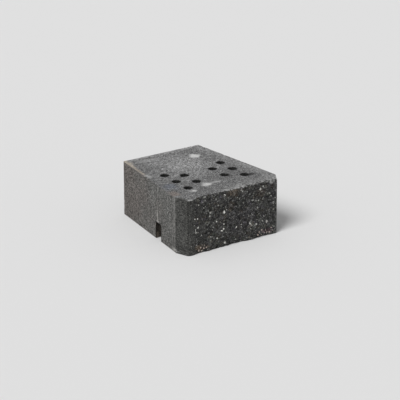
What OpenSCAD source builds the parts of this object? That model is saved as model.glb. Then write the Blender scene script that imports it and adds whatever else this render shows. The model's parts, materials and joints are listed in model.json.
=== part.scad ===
// Split-face retaining wall block: one solid casting of dry concrete.
// The front is the rough face left where two blocks were split apart. The sides
// taper to the back, so that blocks can be laid to a curve. Ten blind pin holes
// stand in the top, and the heads of the pins in the course below run in a
// channel that crosses the underside.
//
// Frame: millimetres, +Z up, the front towards -Y, the origin at the middle of
// the base.

/* [Body] */
// Width across the front ends of the sides
front_w = 312; // [290:2:340]
// Width across the back
back_w = 240; // [224:2:280]
// Depth from the foremost point of the split face to the back
depth = 345; // [320:1:380]
// Height of one course
height = 150; // [130:5:180]

/* [Front corners] */
// How far back the sides end, where the moulded bevels start
side_end = 38; // [30:1:44]
// How far the left bevel draws in, over the depth of its corner
left_draw = 14.6; // [8:0.2:22]
// How far the right bevel draws in, over the depth of its corner
right_draw = 22; // [8:0.2:22]
// Radius of the nose between a bevel and the split face
nose_r = 12; // [6:1:14]

/* [Split face] */
// How far the split face leans back over its height
lean = 2; // [0:0.5:10]
// Height of the slow waves of the fracture, from trough to crest
wave = 8; // [2:0.5:10]
// Height of the facets of the fracture, from hollow to ridge
chop = 5; // [0:0.5:6]
// How much more has broken off along the top edge
top_spall = 3; // [0:0.5:8]
// How much more has broken off along the bottom edge
foot_spall = 2; // [0:0.5:5]
// How far the fracture has cut into the nose at its right end
right_cut = 5.5; // [0:0.5:8]

/* [Pin holes] */
// Diameter of a pin hole
pin_hole_d = 20; // [14:0.5:24]
// Depth of a pin hole, which stops over the channel's roof
pin_hole_depth = 75; // [50:1:80]
// Width of the worn flare round a hole's mouth
mouth = 1.5; // [0.5:0.5:3]
// Chamfer round a hole's foot
foot_chamfer = 1; // [0.5:0.5:3]
// Distance of the outer rows of three holes from the middle plane
outer_row_x = 88; // [80:1:96]
// Distance of the inner rows of two holes from the middle plane
inner_row_x = 44; // [36:1:52]
// Step in depth from a hole to the next one of the other row
row_pitch = 27.5; // [25:0.5:30]

/* [Pin channel] */
// Distance of the channel's middle from the foremost point of the split face
channel_back = 137.5; // [125:0.5:150]
// Width of the channel
channel_w = 28; // [24:1:32]
// Height of the channel
channel_h = 45; // [30:1:48]
// Radius of the two corners under its roof
channel_r = 5; // [2:0.5:8]

/* [Hidden] */

front_y = -depth / 2;             // plane of the foremost point
back_y = depth / 2;
side_y = front_y + side_end;      // front ends of the sides
channel_y = front_y + channel_back;
overlap = 1;                      // cutters run this far past a face
round_sides = 64;                 // sides that a round cutter is drawn with
nose_steps = 6;                   // steps along the arc of a nose
slab = 20;                        // how far the slab that is cut away stands out in front

split_back = 5;                   // mean depth of the fracture at its foot
wave_cell = 30;                   // size of the slow waves
top_band = 16;                    // height of the band that the top spall takes
foot_band = 12;                   // height of the band that the foot spall takes
edge_band = 30;                   // width of the run-out at each end of the face
edge_lead = 1.5;                  // how far in front of the left nose the run-out ends
facet = 10;                       // size of the facets, whose corners the chop raises or lowers

// ---- rules -------------------------------------------------------------

function mix(a, b, t) = a + (b - a) * t;

// Smooth step from 0 to 1, held outside that span
function ease(t) = let (c = max(0, min(1, t))) c * c * (3 - 2 * c);

// A fixed height between 0 and 1 for each point of a lattice
function lattice(i, j, set) =
    let (s = sin(i * 127.1 + j * 311.7 + set * 74.7) * 43758.5453) s - floor(s);

// Waves between -0.5 and 0.5 that pass smoothly through the lattice heights
function waves(x, z, cell, set) =
    let (
        i = floor(x / cell),
        j = floor(z / cell),
        u = ease(x / cell - i),
        v = ease(z / cell - j),
        low = mix(lattice(i, j, set), lattice(i + 1, j, set), u),
        high = mix(lattice(i, j + 1, set), lattice(i + 1, j + 1, set), u)
    )
    mix(low, high, v) - 0.5;

// How far the fracture lies behind the foremost plane
function fracture(x, z) =
    split_back
    + lean * pow(z / height, 2)
    + wave * waves(x, z, wave_cell, 1)
    + chop * waves(x, z, facet, 2)
    + top_spall * ease(1 - (height - z) / top_band)
    + foot_spall * ease(1 - z / foot_band);

// How far a bevel turns away from straight ahead
function bevel_turn(draw) = atan2(draw, side_end);

// Where the nose of a bevel meets the foremost plane
function nose_x(draw) = front_w / 2 - draw - nose_r * tan((90 - bevel_turn(draw)) / 2);

// Where the fracture ends: clear of the left nose, and through the right one
function run_out(x, z) = x < 0 ? -edge_lead : right_cut + lean * pow(z / height, 2);

// The fracture, which runs out over a band at both ends of the face
function split_y(x, z) =
    let (band_x = nose_x(x < 0 ? left_draw : right_draw) - edge_band)
    front_y + mix(fracture(x, z), run_out(x, z), ease((abs(x) - band_x) / edge_band));

// ---- shapes ------------------------------------------------------------

// Half of the outline in plan, from the back to the middle of the front
function half_outline(draw) = concat(
    [[back_w / 2, back_y], [front_w / 2, side_y]],
    [
        for (step = [0 : nose_steps])
            let (a = mix(-bevel_turn(draw), -90, step / nose_steps))
            [nose_x(draw) + nose_r * cos(a), front_y + nose_r + nose_r * sin(a)]
    ]
);

// The casting as it left the mould, before it was split from its twin
module cast_body() {
    right = half_outline(right_draw);
    mirrored = half_outline(left_draw);
    left = [for (i = [len(mirrored) - 1 : -1 : 0]) [-mirrored[i].x, mirrored[i].y]];
    linear_extrude(height = height) polygon(concat(right, left));
}

// Everything in front of the fracture: a slab whose back is the rough face
module broken_off() {
    nx = 2 * ceil(front_w / 2 / facet);
    nz = ceil(height / facet);
    slab_y = front_y - slab;
    columns = [for (i = [0 : nx]) (i - nx / 2) * facet];
    rows = concat(
        [-overlap],
        [for (j = [1 : nz - 1]) height * j / nz],
        [height + overlap]
    );
    rough = [for (z = rows, x = columns) [x, split_y(x, max(0, min(height, z))), z]];
    flat = [for (z = rows, x = columns) [x, slab_y, z]];
    n = nx + 1;
    count = len(rough);
    function at(i, j) = j * n + i;
    polyhedron(
        points = concat(rough, flat),
        faces = concat(
            [for (j = [0 : nz - 1], i = [0 : nx - 1]) each
                (i + j) % 2 == 0
                ? [[at(i, j), at(i + 1, j + 1), at(i, j + 1)],
                   [at(i, j), at(i + 1, j), at(i + 1, j + 1)]]
                : [[at(i, j), at(i + 1, j), at(i, j + 1)],
                   [at(i + 1, j), at(i + 1, j + 1), at(i, j + 1)]]],
            [for (j = [0 : nz - 1], i = [0 : nx - 1])
                [for (k = [at(i, j), at(i, j + 1), at(i + 1, j + 1), at(i + 1, j)]) k + count]],
            [for (j = [0, nz], i = [0 : nx - 1])
                let (ring = [at(i, j), at(i, j) + count, at(i + 1, j) + count, at(i + 1, j)])
                j == 0 ? ring : [ring[3], ring[2], ring[1], ring[0]]],
            [for (i = [0, nx], j = [0 : nz - 1])
                let (ring = [at(i, j), at(i, j + 1), at(i, j + 1) + count, at(i, j) + count])
                i == 0 ? ring : [ring[3], ring[2], ring[1], ring[0]]]
        )
    );
}

// A blind round hole in the top, with a worn flare at its mouth and a chamfer round
// its foot
module pin_hole(x, y) {
    r = pin_hole_d / 2;
    foot = height - pin_hole_depth;
    translate([x, y, 0])
        rotate_extrude($fn = round_sides)
            polygon([
                [0, foot],
                [r - foot_chamfer, foot],
                [r, foot + foot_chamfer],
                [r, height - mouth],
                [r + mouth + overlap, height + overlap],
                [0, height + overlap]
            ]);
}

// Five holes on each side: three in the outer row, two staggered in the inner
module pin_holes() {
    for (side = [-1, 1], k = [-2 : 2])
        pin_hole(
            side * (k % 2 == 0 ? outer_row_x : inner_row_x),
            channel_y + k * row_pitch
        );
}

// The channel that crosses the underside from side to side
module pin_channel() {
    run = front_w + 2 * overlap;
    wall_h = channel_h - channel_r;
    translate([-run / 2, channel_y - channel_w / 2, -overlap])
        cube([run, channel_w, wall_h + overlap]);
    translate([-run / 2, channel_y - channel_w / 2 + channel_r, -overlap])
        cube([run, channel_w - 2 * channel_r, channel_h + overlap]);
    for (side = [-1, 1])
        translate([-run / 2, channel_y + side * (channel_w / 2 - channel_r), wall_h])
            rotate([0, 90, 0]) cylinder(r = channel_r, h = run, $fn = round_sides);
}

module block() {
    color([0.40, 0.40, 0.39])
        difference() {
            cast_body();
            broken_off();
            pin_holes();
            pin_channel();
        }
}

block();
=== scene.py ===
"""Split-face concrete block: the dressed casting, its exposed stones and a plain studio.

Everything is in metres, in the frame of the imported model: +Z up, the split face
towards -Y, the origin at the middle of the base.
"""

import json
import logging
import math
from dataclasses import dataclass, field
from enum import Enum, IntEnum
from functools import cached_property
from typing import Dict, List, Optional, Sequence, Tuple, Union

import bpy
import numpy as np
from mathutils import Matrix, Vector

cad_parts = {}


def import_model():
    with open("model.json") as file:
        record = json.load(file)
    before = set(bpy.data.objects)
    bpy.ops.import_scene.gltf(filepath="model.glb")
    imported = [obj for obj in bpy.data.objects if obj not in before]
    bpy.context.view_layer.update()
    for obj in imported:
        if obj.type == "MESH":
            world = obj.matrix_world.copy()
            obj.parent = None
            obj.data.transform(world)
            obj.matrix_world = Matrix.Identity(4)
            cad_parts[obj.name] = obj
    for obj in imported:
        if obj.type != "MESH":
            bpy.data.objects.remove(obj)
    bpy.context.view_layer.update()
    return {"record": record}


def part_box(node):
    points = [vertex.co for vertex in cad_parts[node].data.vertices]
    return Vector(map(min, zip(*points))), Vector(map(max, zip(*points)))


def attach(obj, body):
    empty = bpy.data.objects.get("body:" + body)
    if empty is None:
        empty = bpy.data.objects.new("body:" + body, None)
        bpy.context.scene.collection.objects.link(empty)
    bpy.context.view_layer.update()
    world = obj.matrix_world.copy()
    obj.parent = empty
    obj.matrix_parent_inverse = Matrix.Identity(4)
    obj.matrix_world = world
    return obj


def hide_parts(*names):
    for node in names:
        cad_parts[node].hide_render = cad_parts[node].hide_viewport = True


log = logging.getLogger("block")

Array = np.ndarray
Colour = Tuple[float, float, float]

MM = 0.001
WELD = 1e-5          # vertices closer than this are one
WELD_SHIFT = 0.371   # keeps round positions off the edges of the weld's cells
RATIO = 3            # fine cells to a coarse one
HASH_PRIMES = (73856093, 19349663, 83492791, 40503)
MIX_PRIMES = (1274126177, 668265263)
MASK = 0xFFFFFFFF    # keeps the mixed numbers to 32 bits
SEARCH_BLOCK = 2000  # vertices looked up at a time, to spare memory
NODE = "block"
BODY = "root"


class Seed(IntEnum):
    """Which set of random numbers each noise draws on. The chips and the grit take
    six sets in a row, so the next free one after theirs is 29."""

    CHIPS = 11
    GRIT = 23
    ARRIS_WANDER = 31
    WEAR_WIDE = 41
    WEAR_CLOSE = 42
    BURR_WIDE = 51
    SCOOPS = 52
    BURR_CLOSE = 53
    DRAG_LINE = 54
    SKIN_BROAD = 61
    SKIN_CLOSE = 62
    SKIN_DRAG = 63
    TORN = 64
    PITS = 65
    SKIN_FINE = 66
    MOUTH_WEAR = 67
    RAG_CLOSE = 71
    RAG_WIDE = 72
    WARMTH = 73
    SPALL_WIDE = 74
    SPALL_CLOSE = 75
    CRUMBS = 76
    SPECKLES = 77


# ---- small rules ---------------------------------------------------------


def ease(t: Array) -> Array:
    """Smooth step from 0 to 1, held outside that span: 3c^2 - 2c^3."""
    c = np.clip(t, 0.0, 1.0)
    return c * c * (3.0 - 2.0 * c)


def rise(value: Array, start: float, run: float) -> Array:
    """Smooth step from 0 at the start to 1 a run further on."""
    return ease((value - start) / run)


def fall(value: Array, end: float, run: float) -> Array:
    """Smooth step down to 0 at the end from 1 a run before it."""
    return ease((end - value) / run)


def mix(a: Array, b: Array, t: Array) -> Array:
    """Straight blend from a to b."""
    return a + (b - a) * t


def subdivide(lines: Array) -> Array:
    """Rising coarse lines with each gap cut into fine ones of equal size."""
    index = np.arange((len(lines) - 1) * RATIO + 1) / RATIO
    return np.interp(index, np.arange(len(lines)), lines)


def to_linear(shade: Tuple[int, int, int]) -> Colour:
    """A screen colour as linear light, by the standard curve: straight near
    black, and a power of 2.4 from there.

    Args:
        shade: Red, green and blue from 0 to 255.

    Returns:
        The three from 0 to 1.
    """
    c = np.asarray(shade, float) / 255.0
    lin = np.where(c <= 0.04045, c / 12.92, ((c + 0.055) / 1.055) ** 2.4)
    return float(lin[0]), float(lin[1]), float(lin[2])


# ---- noise ---------------------------------------------------------------


def lattice(i: Array, j: Array, layer: int) -> Array:
    """A fixed height from 0 to 1 for each lattice point: a large sine's part after the point."""
    s = np.sin(np.radians(i * 127.1 + j * 311.7 + layer * 74.7)) * 43758.5453
    return s - np.floor(s)


def waves(x: Array, z: Array, cell: float, layer: int) -> Array:
    """Waves between -0.5 and 0.5 that pass smoothly through the lattice heights.

    Args:
        x: Positions across.
        z: Heights.
        cell: Size of a lattice cell.
        layer: Which lattice.

    Returns:
        The wave at each point: two smooth-step blends along x, blended along z.
    """
    i, j = np.floor(x / cell), np.floor(z / cell)
    u, v = ease(x / cell - i), ease(z / cell - j)
    low = mix(lattice(i, j, layer), lattice(i + 1, j, layer), u)
    high = mix(lattice(i, j + 1, layer), lattice(i + 1, j + 1, layer), u)
    return mix(low, high, v) - 0.5


def scatter(cells: Array, seed: int) -> Array:
    """A fixed number from 0 to 1 for each whole-numbered cell.

    Args:
        cells: Whole numbers, three to a row.
        seed: Which set of numbers.

    Returns:
        One number a row, from products with large primes mixed by shifts.
    """
    a, b, c = np.moveaxis(cells.astype(np.int64), -1, 0)
    across, along, up, layer = HASH_PRIMES
    h = a * across ^ b * along ^ c * up ^ (int(seed) + 1) * layer
    h = (h ^ (h >> 13)) & MASK
    h = (h * MIX_PRIMES[0]) & MASK
    h = ((h ^ (h >> 15)) * MIX_PRIMES[1]) & MASK
    return (h ^ (h >> 16)).astype(float) / MASK


def cloud(points: Array, cell: Union[float, Sequence[float]], seed: int) -> Array:
    """Smooth noise from 0 to 1 in space.

    Args:
        points: Positions, three to a row.
        cell: Size of a cell, one for all axes or one for each.
        seed: Which noise.

    Returns:
        The blend of the eight cell-corner numbers round each point.
    """
    q = points / np.asarray(cell, float)
    base = np.floor(q)
    t = ease(q - base)
    total = np.zeros(len(points))
    for corner in np.ndindex(2, 2, 2):
        step = np.array(corner)
        share = np.prod(np.where(step == 1, t, 1.0 - t), axis=1)
        total += share * scatter(base + step, seed)
    return total


def chips(points: Array, cell: float, seed: int) -> Array:
    """Flat broken facets: each point takes the tilted plane of its nearest chip.

    Args:
        points: Positions, three to a row.
        cell: Mean size of a chip.
        seed: Which set of chips.

    Returns:
        The height of the facet, about -0.5 to 0.5.
    """
    q = points / cell
    base = np.floor(q)
    best = np.full(len(points), np.inf)
    height = np.zeros(len(points))
    for offset in np.ndindex(3, 3, 3):
        at = base + np.array(offset) - 1
        centre = at + np.stack([scatter(at, seed + k) for k in range(3)], axis=1)
        gap = q - centre
        far = np.linalg.norm(gap, axis=1)
        tilt = np.stack([scatter(at, seed + 3 + k) - 0.5 for k in range(2)], axis=1)
        plane = (scatter(at, seed + 5) - 0.5) * 0.8 + (gap[:, [0, 2]] * tilt).sum(axis=1)
        nearer = far < best
        best = np.where(nearer, far, best)
        height = np.where(nearer, plane, height)
    return height


# ---- sizes ---------------------------------------------------------------


@dataclass(frozen=True)
class FractureSizes:
    """How the rough face was broken. Lengths in metres."""

    mean_depth: float = 5 * MM
    lean: float = 2 * MM
    wave: float = 8 * MM
    wave_cell: float = 30 * MM
    chop: float = 5 * MM
    facet: float = 10 * MM
    top_spall: float = 3 * MM
    top_band: float = 16 * MM
    foot_spall: float = 2 * MM
    foot_band: float = 12 * MM
    edge_band: float = 30 * MM
    edge_lead: float = 1.5 * MM
    right_cut: float = 5.5 * MM
    chip: float = 6.5 * MM
    chip_height: float = 1.7 * MM
    grit: float = 3.2 * MM
    grit_height: float = 1.3 * MM
    arris_band: float = 9 * MM
    arris_wander: float = 0.9 * MM
    wander_cell: float = 9 * MM
    wander_middle: float = 0.4


@dataclass(frozen=True)
class BlockSizes:
    """The casting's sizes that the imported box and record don't give, in metres."""

    back_w: float = 240 * MM
    side_end: float = 38 * MM
    left_draw: float = 14.6 * MM
    right_draw: float = 22 * MM
    nose_r: float = 12 * MM
    hole_depth: float = 75 * MM
    mouth: float = 1.5 * MM
    foot_chamfer: float = 1 * MM
    channel_w: float = 28 * MM
    channel_h: float = 45 * MM
    channel_r: float = 5 * MM


@dataclass(frozen=True)
class Hole:
    """One pin hole: its middle in plan and its radius."""

    x: float
    y: float
    radius: float


class Part(Enum):
    """Which skin of the casting a vertex belongs to."""

    SPLIT = 0
    NOSE = 1
    SIDE = 2
    BACK = 3
    TOP = 4
    BED = 5
    CHANNEL = 6
    HOLE = 7


WALLS = (Part.SPLIT, Part.NOSE, Part.SIDE, Part.BACK)


@dataclass
class Plan:
    """The casting's outline in plan and the fracture that ends it in front."""

    low: Array
    high: Array
    sizes: BlockSizes = field(default_factory=BlockSizes)
    broken: FractureSizes = field(default_factory=FractureSizes)

    @property
    def front_y(self) -> float:
        """Plane of the foremost point."""
        return float(self.low[1])

    @property
    def back_y(self) -> float:
        """Plane of the back."""
        return float(self.high[1])

    @property
    def height(self) -> float:
        """Height of the course."""
        return float(self.high[2])

    @property
    def half_w(self) -> float:
        """Half the width across the front ends of the sides."""
        return float(self.high[0])

    @property
    def side_y(self) -> float:
        """Front ends of the sides."""
        return self.front_y + self.sizes.side_end

    @property
    def taper(self) -> float:
        """How far a side draws in for each unit of depth."""
        return (self.half_w - self.sizes.back_w / 2) / (self.back_y - self.side_y)

    def bevel_turn(self, draw: float) -> float:
        """How far a bevel turns away from straight ahead, in radians."""
        return math.atan2(draw, self.sizes.side_end)

    def nose_x(self, draw: float) -> float:
        """Where the nose of a bevel meets the foremost plane."""
        turn = self.bevel_turn(draw)
        return self.half_w - draw - self.sizes.nose_r * math.tan((math.pi / 2 - turn) / 2)

    def half_width(self, y: Array) -> Array:
        """Half the width between the straight sides at a depth."""
        share = (y - self.side_y) / (self.back_y - self.side_y)
        return mix(self.half_w, self.sizes.back_w / 2, share)

    def smooth_fracture(self, x: Array, z: Array) -> Array:
        """Depth of the fracture as the construction has it: its mean, the lean,
        two sizes of wave and the two spalled edges, run out at both ends.

        Args:
            x: Positions across.
            z: Heights.

        Returns:
            The y of the smooth fracture.
        """
        b = self.broken
        depth = (
            b.mean_depth
            + b.lean * (z / self.height) ** 2
            + b.wave * waves(x, z, b.wave_cell, 1)
            + b.chop * waves(x, z, b.facet, 2)
            + b.top_spall * ease(1 - (self.height - z) / b.top_band)
            + b.foot_spall * ease(1 - z / b.foot_band)
        )
        run_out = np.where(x < 0, -b.edge_lead, b.right_cut + b.lean * (z / self.height) ** 2)
        nose = np.where(x < 0, self.nose_x(self.sizes.left_draw), self.nose_x(self.sizes.right_draw))
        band = ease((np.abs(x) - (nose - b.edge_band)) / b.edge_band)
        return self.front_y + mix(depth, run_out, band)

    def faceted_fracture(self, x: Array, z: Array) -> Array:
        """The fracture as flat triangles, the way the solid carries it.

        Args:
            x: Positions across.
            z: Heights.

        Returns:
            The y of the facet at each point: the square cell round it is cut
            along one diagonal or the other in turn, and the point's height is
            the straight blend of its triangle's three corners.
        """
        width = self.broken.facet
        row_h = self.height / math.ceil(self.height / width)
        i = np.floor(x / width)
        j = np.clip(np.floor(z / row_h), 0, round(self.height / row_h) - 1)
        u, v = x / width - i, z / row_h - j
        low_left = self.smooth_fracture(i * width, j * row_h)
        low_right = self.smooth_fracture((i + 1) * width, j * row_h)
        high_left = self.smooth_fracture(i * width, (j + 1) * row_h)
        high_right = self.smooth_fracture((i + 1) * width, (j + 1) * row_h)
        rising = np.where(
            v > u,
            low_left + v * (high_left - low_left) + u * (high_right - high_left),
            low_left + u * (low_right - low_left) + v * (high_right - low_right),
        )
        falling = np.where(
            u + v < 1,
            low_left + u * (low_right - low_left) + v * (high_left - low_left),
            high_right + (1 - u) * (high_left - high_right) + (1 - v) * (low_right - high_right),
        )
        return np.where((i + j) % 2 == 0, rising, falling)

    def right_arris(self, z: Array) -> Array:
        """Where the fracture meets the right bevel.

        Args:
            z: Heights.

        Returns:
            Points in plan: on the nose while the cut is shallower than the nose,
            and on the straight bevel past it. The cut wanders a little.
        """
        b, s = self.broken, self.sizes
        at = np.stack([np.zeros_like(z), np.zeros_like(z), z], axis=-1)
        wander = cloud(at.reshape(-1, 3), (1, 1, b.wander_cell), Seed.ARRIS_WANDER).reshape(z.shape)
        wander = b.arris_wander * (wander - b.wander_middle)
        cut = b.right_cut + b.lean * (z / self.height) ** 2 + wander
        turn = self.bevel_turn(s.right_draw)
        tangent = s.nose_r * (1 - math.sin(turn))
        on_bevel = self.half_w - (s.side_end - cut) * s.right_draw / s.side_end
        sine = np.clip((cut - s.nose_r) / s.nose_r, -1, 1)
        on_nose = self.nose_x(s.right_draw) + s.nose_r * np.sqrt(1 - sine**2)
        x = np.where(cut >= tangent, on_bevel, on_nose)
        return np.stack([x, self.front_y + cut], axis=-1)

    def rough_fracture(self, x: Array, z: Array) -> Array:
        """The fracture with its chips, never in front of the foremost plane.

        Args:
            x: Positions across.
            z: Heights.

        Returns:
            The y of the broken face: the facets, plus chips and grit that fade
            out at both ends, bent to the right arris.
        """
        b = self.broken
        flat = np.stack([x, np.zeros_like(x), z], axis=-1).reshape(-1, 3)
        large = chips(flat, b.chip, Seed.CHIPS)
        small = chips(flat, b.grit, Seed.GRIT)
        relief = (b.chip_height * large + b.grit_height * small).reshape(x.shape)
        left_x = -self.nose_x(self.sizes.left_draw)
        corner = self.right_arris(z)
        fade = ease((x - left_x) / (1.1 * b.arris_band)) * ease((corner[..., 0] - x) / b.arris_band)
        facets = self.faceted_fracture(x, z)
        ended = mix(facets, corner[..., 1], 1 - ease((corner[..., 0] - x) / b.arris_band))
        return np.maximum(ended + relief * fade, self.front_y)


# ---- a mesh put together from patches --------------------------------------


@dataclass
class Shell:
    """Patches of one closed skin, welded where their edges meet."""

    points: List[Array] = field(default_factory=list)
    parts: List[Array] = field(default_factory=list)
    inward: List[Array] = field(default_factory=list)
    quads: List[Array] = field(default_factory=list)
    tris: List[Array] = field(default_factory=list)
    count: int = 0

    def add_points(self, points: Array, part: Part, inward: Optional[Array] = None) -> Array:
        """Adds vertices.

        Args:
            points: Positions, of any grid shape ending in 3.
            part: The skin they belong to.
            inward: Level direction into the casting at each, where it is a wall.

        Returns:
            Their numbers, in the shape of the grid.
        """
        shape = points.shape[:-1]
        flat = points.reshape(-1, 3)
        level = np.broadcast_to(np.zeros(2) if inward is None else inward, shape + (2,)).reshape(-1, 2)
        self.points.append(flat)
        self.parts.append(np.full(len(flat), part.value))
        self.inward.append(np.array(level))
        numbers = np.arange(self.count, self.count + len(flat)).reshape(shape)
        self.count += len(flat)
        return numbers

    def add_faces(self, numbers: Array, flip: bool, keep: Optional[Array] = None) -> None:
        """Adds a grid's quads.

        Args:
            numbers: Vertex numbers on the grid.
            flip: Whether the rows and columns turn the wrong way round.
            keep: Which cells are there, or None for all.
        """
        a, b = numbers[:-1, :-1], numbers[1:, :-1]
        c, d = numbers[1:, 1:], numbers[:-1, 1:]
        ring = np.stack([a, d, c, b] if flip else [a, b, c, d], axis=-1)
        self.quads.append((ring if keep is None else ring[keep]).reshape(-1, 4))

    def add_step(self, fine: Array, coarse: Array, flip: bool) -> None:
        """Joins a fine row to a coarse one: a triangle, a quad and a triangle to
        each coarse cell.

        Args:
            fine: Numbers along the fine row.
            coarse: Numbers along the coarse row.
            flip: Whether the faces turn the wrong way round.
        """
        c0, c1 = coarse[:-1], coarse[1:]
        f0, f1, f2, f3 = (fine[k:len(fine) - RATIO + k:RATIO] for k in range(RATIO + 1))
        tris = np.concatenate([np.stack([f0, c0, f1], -1), np.stack([f2, c1, f3], -1)])
        quads = np.stack([f1, c0, c1, f2], -1)
        self.tris.append(tris[:, ::-1] if flip else tris)
        self.quads.append(quads[:, ::-1] if flip else quads)

    def welded(self) -> Tuple[Array, Array, Array, Array, Array]:
        """Merges the vertices that lie together.

        Returns:
            Positions, skins as a true-or-false column each, inward directions,
            quads and triangles.
        """
        points = np.concatenate(self.points)
        key = np.floor(points / WELD + WELD_SHIFT).astype(np.int64)
        _, first, back = np.unique(key, axis=0, return_index=True, return_inverse=True)
        back = back.reshape(-1)
        on = np.zeros((len(first), len(Part)), bool)
        on[back, np.concatenate(self.parts)] = True
        level = np.zeros((len(first), 2))
        np.add.at(level, back, np.concatenate(self.inward))
        level /= np.maximum(np.linalg.norm(level, axis=1, keepdims=True), 1e-9)
        quads, tris = back[np.concatenate(self.quads)], back[np.concatenate(self.tris)]
        return points[first], on, level, quads, tris


def triangles(quads: Array, tris: Array) -> Tuple[Array, Array, Array]:
    """Three sets of triangles: those of the mesh, and both halves of its quads."""
    return tris, quads[:, [0, 1, 2]], quads[:, [0, 2, 3]]


def vertex_normals(points: Array, quads: Array, tris: Array) -> Array:
    """Outward directions, from the faces round each vertex by their areas.

    Args:
        points: Vertex positions.
        quads: Four numbers a row.
        tris: Three numbers a row.

    Returns:
        A direction of length 1 for each vertex.
    """
    total = np.zeros_like(points)
    for ring in triangles(quads, tris):
        a, b, c = (points[ring[:, k]] for k in range(3))
        face = np.cross(b - a, c - a)
        for k in range(3):
            np.add.at(total, ring[:, k], face)
    return total / np.maximum(np.linalg.norm(total, axis=1, keepdims=True), 1e-18)


def faults(points: Array, quads: Array, tris: Array) -> Tuple[int, float]:
    """Looks for gaps in a skin, and measures what it encloses.

    Args:
        points: Vertex positions.
        quads: Four numbers a row.
        tris: Three numbers a row.

    Returns:
        How many directed edges lack their opposite or come twice, and the volume:
        the sum of the triple products of all triangles, over six.
    """
    every = np.concatenate([
        np.stack([r[:, k], r[:, (k + 1) % r.shape[1]]], -1)
        for r in (quads, tris) for k in range(r.shape[1])
    ]).astype(np.int64)
    size = len(points)
    there, back = every[:, 0] * size + every[:, 1], every[:, 1] * size + every[:, 0]
    open_edges = len(np.setxor1d(there, back)) + len(there) - len(np.unique(there))
    volume = 0.0
    for ring in triangles(quads, tris):
        a, b, c = (points[ring[:, k]] for k in range(3))
        volume += float((a * np.cross(b, c)).sum() / 6)
    return open_edges, volume


def make_object(
    name: str, points: Array, quads: Array, tris: Array, smooth: bool = True
) -> bpy.types.Object:
    """Puts arrays into a new mesh object at the origin.

    Args:
        name: Name of the piece.
        points: Vertex positions.
        quads: Four numbers a row.
        tris: Three numbers a row.
        smooth: Whether its faces shade as one surface.

    Returns:
        The object, linked to the scene.
    """
    mesh = bpy.data.meshes.new(name)
    corners = np.concatenate([quads.ravel(), tris.ravel()]).astype(np.int32)
    sizes = np.concatenate([np.full(len(quads), 4), np.full(len(tris), 3)])
    starts = np.concatenate([[0], np.cumsum(sizes)[:-1]]).astype(np.int32)
    mesh.vertices.add(len(points))
    mesh.vertices.foreach_set("co", points.astype(np.float32).ravel())
    mesh.loops.add(len(corners))
    mesh.loops.foreach_set("vertex_index", corners)
    mesh.polygons.add(len(sizes))
    mesh.polygons.foreach_set("loop_start", starts)
    mesh.update(calc_edges=True)
    mesh.validate()
    mesh.polygons.foreach_set("use_smooth", np.full(len(mesh.polygons), smooth))
    piece = bpy.data.objects.new(name, mesh)
    bpy.context.scene.collection.objects.link(piece)
    return piece


def paint(piece: bpy.types.Object, name: str, values: Array) -> None:
    """Stores one number a vertex under a name that a material can read."""
    layer = piece.data.attributes.new(name, "FLOAT", "POINT")
    layer.data.foreach_set("value", values.astype(np.float32))


def ride_as(piece: bpy.types.Object, replaced: bool) -> None:
    """Declares a finished piece to the frame.

    Args:
        piece: The piece.
        replaced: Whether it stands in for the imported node.
    """
    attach(piece, BODY)
    if replaced:
        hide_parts(NODE)


def quarter_round(gap: Array, radius: Union[float, Array]) -> Tuple[Array, Array]:
    """How a vertex beside a sharp edge moves onto the edge's round, at the angle
    a = 45 degrees x (1 - gap / radius).

    Args:
        gap: Its distance from the edge, along its own skin.
        radius: The round's.

    Returns:
        How far it sinks under its own skin, r - r cos a, and how far it slides
        along it, r - r sin a - gap.
    """
    turn = np.radians(45) * (1 - np.clip(gap / radius, 0, 1))
    sink = radius - radius * np.cos(turn)
    slide = radius - radius * np.sin(turn) - gap
    return sink, slide


# ---- the casting -----------------------------------------------------------


@dataclass(frozen=True)
class Patch:
    """A soft-edged oval mark on one skin, by its middle and its half sizes. On the
    top they are across and in depth, on the broken face across and in height, and
    on a side in depth and in height."""

    first: float
    second: float
    half_first: float
    half_second: float
    strength: float

    def cover(self, first: Array, second: Array, ragged: Array, edge: float = 0.8) -> Array:
        """How much of the mark is there, eased off past a ragged distance in half sizes."""
        far = np.hypot((first - self.first) / self.half_first, (second - self.second) / self.half_second)
        return self.strength * ease((1.25 - far * ragged) / edge)


def covered(patches: Sequence[Patch], first: Array, second: Array, ragged: Array) -> Array:
    """The strongest of several marks at each place."""
    return np.max([patch.cover(first, second, ragged) for patch in patches], axis=0)


def marks(scale: float, *rows: Tuple[float, float, float, float, float]) -> Tuple[Patch, ...]:
    """Marks from rows of sizes in a given unit, each ending in a strength."""
    return tuple(Patch(*(v * scale for v in row[:4]), row[4]) for row in rows)


@dataclass
class Surface:
    """The casting's vertices before any wear: their positions, the skins they
    belong to, and the directions into the casting at its walls."""

    points: Array
    on: Array
    level: Array

    @cached_property
    def rag(self) -> Array:
        """Close noise from 0 to 1, for grain in the marks."""
        return cloud(self.points, 5 * MM, Seed.RAG_CLOSE)

    @cached_property
    def ragged(self) -> Array:
        """Broader noise round 1, for the marks' outlines."""
        return 0.55 + 0.9 * cloud(self.points, 9 * MM, Seed.RAG_WIDE)

    @cached_property
    def left_wall(self) -> Array:
        """Which vertices are on the left straight side."""
        return self.part(Part.SIDE) & (self.points[:, 0] < 0)

    def part(self, *parts: Part) -> Array:
        """Which vertices belong to any of the skins that are named."""
        return self.on[:, [part.value for part in parts]].any(axis=1)


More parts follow.
